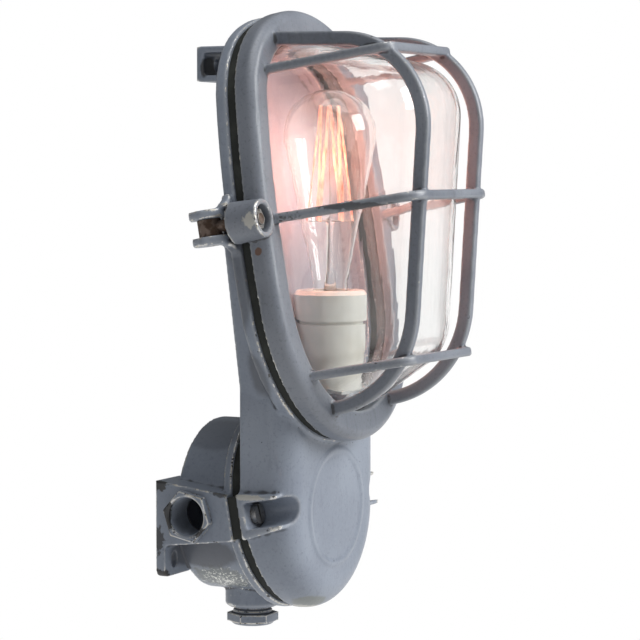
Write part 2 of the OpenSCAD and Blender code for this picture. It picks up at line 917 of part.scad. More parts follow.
module cover_screw_left() {
  cover_screw(-screw_x, 100);
}

module cover_screw_right() {
  cover_screw(screw_x, 20);
}

// Sheet thickness of the holder bracket
bracket_t = 2;
module holder_bracket() {
  color(steel)
    difference() {
      union() {
        translate([-22, -post_front - bracket_t, post_z - 7])
          cube([44, bracket_t, holder_z - post_z + 7]);
        translate([-22, -lamp_d - 20, holder_z - bracket_t])
          cube([44, lamp_d + 20 - post_front, bracket_t]);
      }
      for (s = [-1, 1])
        translate([s * post_x, -post_front + 1, post_z])
          rotate([90, 0, 0])
            cylinder(r = 2.3, h = 5);
      lamp_axis() {
        for (s = [-1, 1]) translate([s * 14, 0, holder_z - 5]) cylinder(r = 2.3, h = 8);
        translate([0, 0, holder_z - 5]) cylinder(r = 6, h = 8);
      }
    }
}

module bracket_screws() {
  color(steel)
    for (s = [-1, 1])
      translate([s * post_x, -post_front - bracket_t, post_z])
        rotate([90, 0, 0])
          slotted_screw(3.8, 2.4, 1.95, 6, 1);
}

module lampholder_base() {
  color(porcelain)
    lamp_axis()
      translate([0, 0, holder_z])
        difference() {
          union() {
            cylinder(r1 = holder_r - 2.5, r2 = holder_r - 1, h = holder_base_h - 8);
            translate([0, 0, holder_base_h - 8]) cylinder(r = holder_r - 1, h = 5.5);
            translate([0, 0, holder_base_h - 4]) cylinder(r = holder_r - 3, h = 4);
          }
          translate([0, 0, 10]) cylinder(r = 15.5, h = holder_base_h);
          translate([0, 0, -1]) cylinder(r = 6, h = 12);
          for (s = [-1, 1]) translate([s * 14, 0, -1]) cylinder(r = 1.7, h = 9);
        }
}

module lampholder_collar() {
  color(porcelain)
    lamp_axis()
      translate([0, 0, collar_z])
        difference() {
          union() {
            cylinder(r = holder_r, h = holder_collar_h - 3);
            translate([0, 0, holder_collar_h - 3])
              cylinder(r1 = holder_r, r2 = holder_r - 2.5, h = 3);
          }
          translate([0, 0, -1]) cylinder(r = 15.5, h = holder_collar_h + 2);
        }
}

// Threaded shell inside the porcelain
shell_t = 0.9;
module lampholder_shell() {
  color(brass)
    lamp_axis()
      difference() {
        union() {
          translate([0, 0, shell_low]) cylinder(r = cap_r + fit + shell_t, h = holder_top - shell_low - 3);
          translate([0, 0, collar_z - 16]) cylinder(r = 15.4, h = 3);
        }
        translate([0, 0, shell_low - 1]) cylinder(r = cap_r + fit, h = 60);
      }
}

module centre_contact() {
  color(brass)
    lamp_axis()
      translate([0, 0, holder_z + 10]) {
        cylinder(r = 4, h = 1.5);
        translate([-3, -4, 0]) cube([14, 8, 1.5]);
        cylinder(r = 2, h = cap_low - 2.5 - holder_z - 10);
      }
}

module holder_screws() {
  color(steel)
    lamp_axis()
      for (s = [-1, 1])
        translate([s * 14, 0, holder_z - bracket_t])
          rotate([180, 0, 0])
            slotted_screw(3.4, 2.2, 1.65, 9, 0.9);
}

// A round wire through a list of points
module wire(points, r) {
  for (i = [0:len(points) - 2]) {
    a = points[i];
    b = points[i + 1];
    d = b - a;
    l = norm(d);
    translate(a)
      rotate([0, acos(d[2] / l), atan2(d[1], d[0])])
        cylinder(r = r, h = l, $fn = 24);
    if (i > 0) translate(a) sphere(r = r + 0.2, $fn = 24);
  }
}

module internal_wires() {
  wire_r = 1.5;
  for (s = [-1, 1])
    color(s < 0 ? [0.10, 0.10, 0.11] : [0.55, 0.53, 0.48])
      wire([
        [s * 17.5, -block_back - 9, block_z + 8],
        [s * 17.5, -block_back - 9, block_z + 16],
        [s * 10, -56, block_z + 18],
        [s * 4, -lamp_d + 15, 62],
        [s * 3.2, -lamp_d + 9, 73],
        [s * 3, -lamp_d, holder_z - 4],
        [s * 3, -lamp_d, holder_z + 8]
      ], wire_r);
}

module bulb_cap() {
  color(brass)
    lamp_axis()
      difference() {
        union() {
          translate([0, 0, cap_low]) cylinder(r1 = 9, r2 = cap_r, h = 4);
          translate([0, 0, cap_low + 4]) cylinder(r = cap_r, h = 24);
        }
        translate([0, 0, cap_low + 1.5]) cylinder(r1 = 8, r2 = cap_r - 0.6, h = 4);
        translate([0, 0, cap_low + 5.4]) cylinder(r = cap_r - 0.6, h = 30);
        translate([0, 0, cap_low - 1]) cylinder(r = 5, h = 5);
      }
}

module bulb_contact() {
  color(steel)
    lamp_axis()
      translate([0, 0, cap_low - 2.5]) {
        cylinder(r = 4, h = 1);
        cylinder(r = 2.5, h = 2);
        translate([0, 0, 1]) cylinder(r1 = 4.9, r2 = 4.9, h = 3);
      }
}

// The bulb's form, moved inwards by an inset and open at its neck
module bulb_form(inset) {
  r = bulb_r - inset;
  neck = cap_r - 1 - inset;
  low = cap_low + 10 - inset;
  waist = holder_top + 6;
  knee = waist + 8;
  a = 13;
  translate([0, 0, bulb_z]) sphere(r = r, $fn = 96);
  translate([0, 0, low]) cylinder(r = neck, h = waist - low + touch);
  translate([0, 0, waist]) cylinder(r1 = neck, r2 = neck + 1.6, h = 8);
  translate([0, 0, knee])
    cylinder(r1 = neck + 1.6, r2 = (r - touch) * cos(a), h = bulb_z - r * sin(a) - knee);
}

module bulb_glass() {
  color(clear)
    lamp_axis()
      difference() {
        bulb_form(0);
        bulb_form(bulb_wall);
      }
}

// Heights of the filament cage
cage_low = 202;
cage_top = 282;
stem_ball_r = 3.2;
module bulb_stem() {
  color(clear)
    lamp_axis()
      translate([0, 0, cap_low + 12 + touch]) {
        cylinder(r = cap_r - 1 - bulb_wall - touch, h = 1.2);
        cylinder(r1 = 7, r2 = 3, h = 30);
        cylinder(r = 2.2, h = cage_low - cap_low - 12);
        translate([0, 0, cage_low - cap_low - 12 - touch]) sphere(r = stem_ball_r, $fn = 32);
      }
}

// Ends of the filament wires: the cage is wider at its foot
cage_r_low = 16;
cage_r_top = 7;
bead_r = 1.3;
module filament_supports() {
  rod_r = 0.7;
  color(steel)
    lamp_axis() {
      translate([0, 0, cage_low + stem_ball_r + touch])
        cylinder(r = rod_r, h = cage_top - cage_low - stem_ball_r + 1, $fn = 16);
      for (i = [0:filament_n / 2 - 1]) {
        a = 720 * i / filament_n;
        translate([0, 0, cage_top])
          rotate([0, 90, a + 360 / filament_n])
            cylinder(r = 0.45, h = cage_r_top - bead_r - touch, $fn = 16);
        rotate([0, 0, a])
          translate([stem_ball_r + touch, 0, cage_low])
            rotate([0, 90, 0])
              cylinder(r = 0.45, h = cage_r_low - bead_r - stem_ball_r - 2 * touch, $fn = 16);
      }
    }
}

module filament() {
  color(glow)
    lamp_axis()
      for (i = [0:filament_n - 1]) {
        a = 360 * i / filament_n;
        b = 360 * (i + 1) / filament_n;
        part = atan2(0.5, cage_r_low);
        part_top = atan2(0.5, cage_r_top);
        low = (i % 2 == 0) ? a + part : b - part;
        top = (i % 2 == 0) ? b - part_top : a + part_top;
        wire([
          [cage_r_low * cos(low), cage_r_low * sin(low), cage_low],
          [cage_r_top * cos(top), cage_r_top * sin(top), cage_top]
        ], 0.4);
        if (i % 2 == 0) {
          translate([cage_r_low * cos(a), cage_r_low * sin(a), cage_low - 0.8]) cylinder(r = bead_r, h = 1.6);
          translate([cage_r_top * cos(b), cage_r_top * sin(b), cage_top - 0.8]) cylinder(r = bead_r, h = 1.6);
        }
      }
}

module hinge_pin() {
  color(steel)
    head()
      translate([-boss_x, boss_v + fork_gap + fork_t, -pin_back])
        rotate([90, 0, 0])
          cylinder(r = pin_r, h = 2 * (fork_gap + fork_t));
}

module hinge_eyebolt() {
  color(brown)
    head()
      translate([-boss_x, boss_v, 0])
        difference() {
          union() {
            translate([0, eye_h / 2, -pin_back]) rotate([90, 0, 0]) cylinder(r = eye_r, h = eye_h);
            translate([0, 0, -pin_back]) cylinder(r = bolt_r, h = pin_back + boss_front_d - 2.5);
          }
          translate([0, eye_h, -pin_back]) rotate([90, 0, 0]) cylinder(r = pin_r + pin_gap, h = 2 * eye_h);
        }
}

// Thickness of the washers in the two bosses
seat_washer_t = 1.6;
module seat_washer(hole_r) {
  difference() {
    cylinder(r = 8.2, h = seat_washer_t);
    translate([0, 0, -1]) cylinder(r = hole_r, h = 4);
  }
}

module hinge_washer() {
  color(steel)
    head()
      translate([-boss_x, boss_v, boss_seat_d])
        seat_washer(bolt_r + 0.2);
}

module hinge_nut() {
  color(steel)
    head()
      translate([-boss_x, boss_v, boss_seat_d + seat_washer_t])
        difference() {
          hexagon(hex_flats, 6.5);
          translate([0, 0, -1]) cylinder(r = bolt_r + 0.02, h = 10);
        }
}

module closing_washer() {
  color(steel)
    head()
      translate([boss_x, boss_v, boss_seat_d])
        seat_washer(bolt_root_r + 0.2);
}

module closing_screw() {
  tip = lug_back - 4;
  color(steel)
    head()
      translate([boss_x, boss_v, boss_seat_d + seat_washer_t]) {
        hexagon(hex_flats, 5.5);
        translate([0, 0, -boss_seat_d - seat_washer_t - tip + 1])
          cylinder(r = bolt_root_r, h = boss_seat_d + seat_washer_t + tip);
        translate([0, 0, -boss_seat_d - seat_washer_t - tip])
          cylinder(r1 = bolt_root_r - 0.8, r2 = bolt_root_r, h = 1);
      }
}

// Section of the guard ring: x = 0 is the oval, z is the distance from the flange
module ring_section(g) {
  difference() {
    union() {
      translate([-ring_w + 2, ring_back - g]) square([ring_w - 2 - ring_edge_r, ring_t + 2 * g]);
      translate([-ring_w - g, ring_back - g]) square([ring_w + 2 * g, ring_t - ring_edge_r + g]);
      translate([-ring_w - g, ring_back - g]) square([4, ring_t - 2 + g]);
      translate([-ring_w + 2, ring_front - 2]) circle(r = 2 + g);
      translate([-ring_edge_r, ring_front - ring_edge_r]) circle(r = ring_edge_r + g);
    }
    translate([-ring_w - 1, ring_back - 1])
      square([ring_w - dome_in + seat_w + 1 - g, seat_front - ring_back + 1 - g]);
  }
}

// Rounded section of a bar, with its outer side at x = 0, grown by g all round
module bar_section(t, w, g) {
  r = 1.8;
  translate([-t - g, -w / 2 + r]) square([t + 2 * g, w - 2 * r]);
  translate([-t + r, -w / 2 - g]) square([t - 2 * r, w + 2 * g]);
  for (x = [-t + r, -r], y = [-w / 2 + r, w / 2 - r]) translate([x, y]) circle(r = r + g);
}

// A straight bar of that section from point p, length l, heading at angle a in its plane
module bar_run(p, a, l, t, w) {
  translate([p[0], p[1], 0])
    rotate([0, 0, a])
      rotate([90, 0, 90])
        translate([0, 0, -0.5])
          linear_extrude(height = l + 1)
            mirror([1, 0])
              bar_section(t, w, 0);
}

// A bend of that section about centre c, with outer radius r, from angle a0 to a1
module bar_bend(c, r, a0, a1, t, w) {
  arc_sweep(c, r, a0, a1) bar_section(t, w, hair);
}

// Outer line of a hoop in its own plane: x up the flange, y away from it
hoop_k = tan(hoop_front_lean);
hoop_m = tan(hoop_lean);
top_vertex_y = (hoop_front_d + hoop_k * (hoop_top_v + hoop_m * ring_front)) / (1 + hoop_k * hoop_m);
top_vertex = [hoop_top_v - hoop_m * (top_vertex_y - ring_front), top_vertex_y];
top_turn = 90 + hoop_front_lean - hoop_lean;
top_tan = hoop_top_r * tan(top_turn / 2);
top_c = [
  top_vertex[0] + top_tan * sin(hoop_lean) - hoop_top_r * cos(hoop_lean),
  top_vertex[1] - top_tan * cos(hoop_lean) - hoop_top_r * sin(hoop_lean)
];
low_vertex = [hoop_low_v, hoop_front_d + hoop_k * hoop_low_v];
low_turn = 90 - hoop_front_lean;
low_tan = hoop_low_r * tan(low_turn / 2);
low_c = [hoop_low_v + hoop_low_r, low_vertex[1] - low_tan];
foot_d = ring_front - 4;

// One hoop, standing in the plane x = 0 of the head
module hoop() {
  front_l = norm(top_vertex - low_vertex) - top_tan - low_tan;
  leg_l = (top_vertex_y - foot_d) / cos(hoop_lean) - top_tan;
  front_start = [
    top_vertex[0] - top_tan * cos(hoop_front_lean),
    top_vertex[1] - top_tan * sin(hoop_front_lean)
  ];
  rotate([0, 0, 90]) rotate([90, 0, 0]) {
    bar_run([
      top_c[0] + hoop_top_r * cos(hoop_lean) + leg_l * sin(hoop_lean),
      top_c[1] + hoop_top_r * sin(hoop_lean) - leg_l * cos(hoop_lean)
    ], 90 + hoop_lean, leg_l, hoop_t, hoop_w);
    bar_bend(top_c, hoop_top_r, hoop_lean, hoop_lean + top_turn, hoop_t, hoop_w);
    bar_run(front_start, 180 + hoop_front_lean, front_l, hoop_t, hoop_w);
    bar_bend(low_c, hoop_low_r, 90 + hoop_front_lean, 180, hoop_t, hoop_w);
    bar_run([hoop_low_v, low_c[1]], 270, low_c[1] - foot_d, hoop_t, hoop_w);
  }
}

// One cross bar in the plane y = 0 of the head, drawn as x and distance from the flange
module cross_bar(front, corner, foot, r) {
  lean = atan2(foot - corner, front - foot_d);
  turn = 90 - lean;
  reach = r * tan(turn / 2);
  leg_l = norm([foot - corner, front - foot_d]) - reach;
  rotate([90, 0, 0]) {
    both() {
      bar_run([foot, foot_d], 90 + lean, leg_l, bar_t, bar_h);
      bar_bend([corner - reach, front - r], r, lean, 90, bar_t, bar_h);
    }
    bar_run([corner - reach, front], 180, 2 * (corner - reach), bar_t, bar_h);
  }
}

// Both bosses of the guard, in the head
module guard_boss() {
  back = 1;
  translate([boss_x, boss_v, 0])
    difference() {
      translate([0, 0, back]) cylinder(r1 = boss_r_back, r2 = boss_r_front, h = boss_front_d - back);
      translate([-30, -30, -1]) cube([30 - boss_x + ow - 2.4, 60, seat_front + 2]);
    }
}

module guard_frame() {
  color(paint)
    head()
      difference() {
        union() {
          oval_sweep() {
            ring_section(0);
            ring_section(hair);
          }
          for (s = [-1, 1]) translate([s * hoop_x, 0, 0]) hoop();
          for (i = [0:len(bar_v) - 1])
            translate([0, bar_v[i], 0])
              cross_bar(bar_front_d[i], bar_corner_x[i], bar_foot_x[i], bar_bend_r[i]);
          both() guard_boss();
        }
        both()
          translate([boss_x, boss_v, 0]) {
            translate([0, 0, boss_seat_d]) cylinder(r = boss_bore_r, h = 40);
            translate([0, 0, -1]) cylinder(r = bolt_r + 0.5, h = 40);
          }
      }
}

// Front plane of the dome: its depth at the head's middle and its lean
dome_front_d = 100.6;
dome_lean = 0.235;
dome_x = 26;
dome_v_top = 65;
dome_v_low = -75;

// Depth of a front ball's centre at height v
function ball_d(v) = dome_front_d + dome_lean * v - dome_edge_r * sqrt(1 + dome_lean * dome_lean);

// The dome's form, moved inwards by an inset and started lower by a drop
module dome_form(inset, drop) {
  hull() {
    oval_plate(dome_in + inset, rim_back - drop, 14 + drop);
    for (s = [-1, 1]) {
      translate([s * dome_x, dome_v_top, ball_d(dome_v_top)]) sphere(r = dome_edge_r - inset, $fn = 36);
      translate([s * dome_x, dome_v_low, ball_d(dome_v_low)]) sphere(r = dome_edge_r - inset, $fn = 36);
    }
  }
}

module dome_rim_section(g) {
  translate([-dome_in - 2 - g, rim_back + 0.1 - g])
    square([dome_rim + 2 + 2 * g, dome_rim_t - 0.2 + 2 * g]);
}

module glass_dome() {
  color(clear)
    head() {
      difference() {
        dome_form(0, 1);
        dome_form(dome_wall, 3);
        translate([-200, -200, rim_back - 60]) cube([400, 400, 60]);
      }
      oval_sweep() {
        dome_rim_section(0);
        dome_rim_section(hair);
      }
    }
}

// Section of the gasket that wraps the dome's rim, grown by g all round
module gasket_section(g) {
  inner = -dome_in + 2;
  outer = -dome_in + seat_w - fit - hair;
  front = seat_front - fit - hair;
  difference() {
    union() {
      translate([inner - g, seal_gap + hair - g])
        square([-3 - inner + 2 * g, ring_back - fit - hair - seal_gap - hair + 2 * g]);
      translate([inner - g, ring_back - 1]) square([outer - inner + 2 * g, front - ring_back + 1 + g]);
    }
    translate([inner - 1, rim_back - touch + g])
      square([dome_rim - 1 + touch - g + fit, dome_rim_t + 2 * touch - 2 * g]);
    translate([inner - 1, rim_back]) square([4, seat_front]);
  }
}

module glass_gasket() {
  color(rubber)
    head()
      oval_sweep() {
        gasket_section(0);
        gasket_section(hair);
      }
}

junction_box();
box_gasket();
conduit_bush();
gland_nut();
gland_washer();
gland_seal();
terminal_block();
terminal_screws();
terminal_block_screws();
earth_screw();
earth_washer();
lamp_body();
cover_screw_left();
cover_screw_right();
holder_bracket();
bracket_screws();
lampholder_base();
lampholder_collar();
lampholder_shell();
centre_contact();
holder_screws();
internal_wires();
bulb_cap();
bulb_contact();
bulb_glass();
bulb_stem();
filament_supports();
filament();
hinge_pin();
hinge_eyebolt();
hinge_washer();
hinge_nut();
guard_frame();
glass_dome();
glass_gasket();
closing_screw();
closing_washer();
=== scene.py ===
"""Looks of an industrial wall light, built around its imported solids.

Lengths are in metres in the frame of the solids: the wall is the plane y = 0, the light stands
out towards -Y, Z is up, and the origin is the middle of the raised seat on the box's back.
"""

import logging
import math
from dataclasses import dataclass, field
from enum import Enum

import bmesh
import bpy
import numpy as np
from mathutils import Matrix, Vector


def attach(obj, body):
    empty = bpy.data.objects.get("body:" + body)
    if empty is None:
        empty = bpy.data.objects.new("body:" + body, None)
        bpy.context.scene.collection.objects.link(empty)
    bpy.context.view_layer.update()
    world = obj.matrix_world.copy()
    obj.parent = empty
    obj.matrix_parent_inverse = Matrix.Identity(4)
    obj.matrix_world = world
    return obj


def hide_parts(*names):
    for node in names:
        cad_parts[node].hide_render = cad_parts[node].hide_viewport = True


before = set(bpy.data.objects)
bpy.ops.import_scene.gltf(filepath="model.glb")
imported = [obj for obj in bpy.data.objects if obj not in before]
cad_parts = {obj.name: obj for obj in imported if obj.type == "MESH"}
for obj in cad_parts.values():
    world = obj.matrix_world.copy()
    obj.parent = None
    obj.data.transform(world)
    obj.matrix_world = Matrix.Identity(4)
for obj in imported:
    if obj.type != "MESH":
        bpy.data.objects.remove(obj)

logging.basicConfig(level=logging.INFO, format="%(levelname)s %(name)s: %(message)s")
LOG = logging.getLogger("wall_light")

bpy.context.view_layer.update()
MM = 0.001
Colour = tuple[float, float, float]
Span = tuple[float, float]
Settings = dict[str, object]
Inputs = dict[str | int, object]
WHITE: Colour = (1.0, 1.0, 1.0)
HEAD_LEAN = math.radians(10.0)
HEAD_Y = -78.0
HEAD_Z = 198.0


class Body(Enum):
    """The two bodies that pieces ride on."""

    LAMP = "lamp"
    GUARD = "guard"


class Surface(Enum):
    """How chipped a paint is: where its chips start, where they are full, and their share."""

    HEAVY = (0.735, 0.775, 0.92)
    LIGHT = (0.765, 0.80, 0.85)


# Shader expressions and nodes.


class Val:
    """A socket that can be used in arithmetic, which adds Math nodes to its graph."""

    def __init__(self, graph: "Graph", socket: bpy.types.NodeSocket) -> None:
        """Keeps the graph and the socket."""
        self.graph = graph
        self.socket = socket

    def _math(self, operation: str, *others: "Val | float", clamp: bool = False) -> "Val":
        """Adds one Math node.

        Args:
            operation: The operation of the Math node.
            others: The further operands.
            clamp: Whether the result is held between 0 and 1.

        Returns:
            The node's result.
        """
        inputs = {i: v for i, v in enumerate((self, *others))}
        node = self.graph.node("ShaderNodeMath", {"operation": operation, "use_clamp": clamp}, inputs)
        return Val(self.graph, node.outputs[0])

    def __add__(self, other: "Val | float") -> "Val":
        """Sum."""
        return self._math("ADD", other)

    __radd__ = __add__

    def __mul__(self, other: "Val | float") -> "Val":
        """Product."""
        return self._math("MULTIPLY", other)

    __rmul__ = __mul__

    def __sub__(self, other: "Val | float") -> "Val":
        """Difference."""
        return self._math("SUBTRACT", other)

    def __rsub__(self, other: float) -> "Val":
        """Difference with a number on the left."""
        return (self * -1.0) + other

    def max(self, other: "Val | float") -> "Val":
        """Larger of the two."""
        return self._math("MAXIMUM", other)

    def held(self) -> "Val":
        """The value held between 0 and 1."""
        return self._math("ADD", 0.0, clamp=True)

    def step(self, low: float, high: float) -> "Val":
        """Smooth rise from 0 at low to 1 at high.

        Args:
            low: Where the rise starts.
            high: Where the rise ends. It may be below low for a fall.

        Returns:
            The mask.
        """
        node = self.graph.node(
            "ShaderNodeMapRange",
            {"interpolation_type": "SMOOTHSTEP"},
            {"Value": self, "From Min": low, "From Max": high, "To Min": 0.0, "To Max": 1.0},
        )
        return Val(self.graph, node.outputs[0])


def add_node(
    tree: bpy.types.NodeTree, kind: str, settings: Settings | None = None, inputs: Inputs | None = None
) -> bpy.types.Node:
    """Adds one node, sets it up and then fills its sockets.

    Args:
        tree: The tree that gets the node.
        kind: The node's type.
        settings: Properties that are set before its sockets.
        inputs: Values, links or Val objects by socket name or index.

    Returns:
        The node.
    """
    made = tree.nodes.new(kind)
    for key, value in (settings or {}).items():
        setattr(made, key, value)
    for key, value in (inputs or {}).items():
        target = made.inputs[key]
        source = value.socket if isinstance(value, Val) else value
        if isinstance(source, bpy.types.NodeSocket):
            tree.links.new(source, target)
        elif isinstance(value, tuple) and len(value) == 3 and target.type == "RGBA":
            target.default_value = (*value, 1.0)
        else:
            target.default_value = value
    return made


class Graph:
    """The node graph of one material."""

    def __init__(self, name: str) -> None:
        """Starts an empty material.

        Args:
            name: The material's name.
        """
        self.material = bpy.data.materials.new(name)
        self.material.use_nodes = True
        self.tree = self.material.node_tree
        self.tree.nodes.clear()
        self.output = self.tree.nodes.new("ShaderNodeOutputMaterial")
        self._place: Val | None = None

    def node(
        self, kind: str, settings: Settings | None = None, inputs: Inputs | None = None
    ) -> bpy.types.Node:
        """Adds one node to the material's tree, as add_node does."""
        return add_node(self.tree, kind, settings, inputs)

    def place(self) -> Val:
        """The point on the object, in the object's own coordinates."""
        if self._place is None:
            self._place = Val(self, self.node("ShaderNodeTexCoord").outputs["Object"])
        return self._place

    def axis(self, index: int) -> Val:
        """One coordinate of the point on the object."""
        split = self.node("ShaderNodeSeparateXYZ", None, {0: self.place()})
        return Val(self, split.outputs[index])

    def facing(self, index: int) -> Val:
        """One coordinate of the surface's normal."""
        normal = self.node("ShaderNodeNewGeometry").outputs["Normal"]
        split = self.node("ShaderNodeSeparateXYZ", None, {0: normal})
        return Val(self, split.outputs[index])

    def stretched(self, scale: tuple[float, float, float], turn: float = 0.0) -> Val:
        """The point on the object, scaled along each axis and turned about X."""
        node = self.node(
            "ShaderNodeMapping", None,
            {"Vector": self.place(), "Scale": scale, "Rotation": (turn, 0.0, 0.0)},
        )
        return Val(self, node.outputs[0])

    def noise(
        self, scale: float, detail: float = 3.0, rough: float = 0.55, at: Val | None = None
    ) -> Val:
        """A noise of the given scale per metre.

        Args:
            scale: Cells per metre.
            detail: Number of finer layers.
            rough: Strength of the finer layers.
            at: The coordinates, or the object's own.

        Returns:
            The noise, about 0.5 on average.
        """
        node = self.node(
            "ShaderNodeTexNoise",
            None,
            {"Vector": at or self.place(), "Scale": scale, "Detail": detail, "Roughness": rough},
        )
        return Val(self, node.outputs[0])

    def cells(self, scale: float) -> Val:
        """Distance to the nearest of scattered points, for pits and specks."""
        node = self.node("ShaderNodeTexVoronoi", None, {"Vector": self.place(), "Scale": scale})
        return Val(self, node.outputs["Distance"])

    def attribute(self, name: str) -> Val:
        """A number that the mesh keeps at each point."""
        node = self.node("ShaderNodeAttribute", {"attribute_name": name})
        return Val(self, node.outputs["Fac"])

    def mix(self, mask: Val | float, low: "Val | Colour", high: "Val | Colour") -> Val:
        """A colour between two others.

        Args:
            mask: 0 gives low and 1 gives high.
            low: The first colour.
            high: The second colour.

        Returns:
            The mixed colour.
        """
        node = self.node("ShaderNodeMix", {"data_type": "RGBA"}, {0: mask, 6: low, 7: high})
        return Val(self, node.outputs[2])

    def bump(self, height: Val, strength: float, distance: float) -> Val:
        """A normal that is tilted by a height.

        Args:
            height: The height, 0 to 1.
            strength: Share of the effect.
            distance: Depth of the relief in metres.

        Returns:
            The normal.
        """
        node = self.node(
            "ShaderNodeBump", None, {"Strength": strength, "Distance": distance, "Height": height}
        )
        return Val(self, node.outputs[0])

    def ray(self, kind: str) -> Val:
        """Whether a ray is of the given kind, as 0 or 1."""
        return Val(self, self.node("ShaderNodeLightPath").outputs[kind])

    def blend(self, share: Val, first: bpy.types.Node, second: bpy.types.Node) -> bpy.types.Node:
        """Mixes two shaders.

        Args:
            share: 0 gives the first and 1 gives the second.
            first: The first shader.
            second: The second shader.

        Returns:
            The mixed shader.
        """
        inputs = {0: share, 1: first.outputs[0], 2: second.outputs[0]}
        return self.node("ShaderNodeMixShader", None, inputs)

    def principled(self, **inputs: object) -> bpy.types.Node:
        """Adds a Principled shader. Underscores in the names stand for spaces."""
        named = {key.replace("_", " "): value for key, value in inputs.items()}
        return self.node("ShaderNodeBsdfPrincipled", None, named)

    def finish(self, shader: bpy.types.Node) -> bpy.types.Material:
        """Connects the shader to the output.

        Args:
            shader: The last shader.

        Returns:
            The material.
        """
        self.tree.links.new(shader.outputs[0], self.output.inputs["Surface"])
        return self.material


# Finishes.


@dataclass(frozen=True)
class Mark:
    """A stain, scuff, worn patch, painted shade or painted glint in one place of a casting, in mm.

    Speck is the scale of the noise that breaks it up, broken is how far it does, thin takes
    from its cover, metal is how bare it is, and fade is where its edge starts and is full.
    """

    place: tuple[float, float, float]
    reach: tuple[float, float, float]
    colour: Colour
    share: float = 0.8
    broken: float = 0.9
    speck: float = 260.0
    metal: float = 0.0
    thin: float = 0.0
    fade: Span = (1.0, 0.72)

    def mask(self, g: Graph) -> Val:
        """How much of the mark shows at a point.

        Args:
            g: The paint's graph.

        Returns:
            The mask.
        """
        kind = "ShaderNodeVectorMath"
        centre = tuple(c * MM for c in self.place)
        scale = tuple(1.0 / (r * MM) for r in self.reach)
        offset = g.node(kind, {"operation": "SUBTRACT"}, {0: g.place(), 1: centre})
        scaled = g.node(kind, {"operation": "MULTIPLY"}, {0: offset.outputs[0], 1: scale})
        length = g.node(kind, {"operation": "LENGTH"}, {0: scaled.outputs[0]})
        speckle = g.noise(self.speck, 3.0, 0.65) - 0.5
        far = Val(g, length.outputs["Value"]) + speckle * (2.0 * self.broken) + self.thin
        return far.step(*self.fade) * self.share


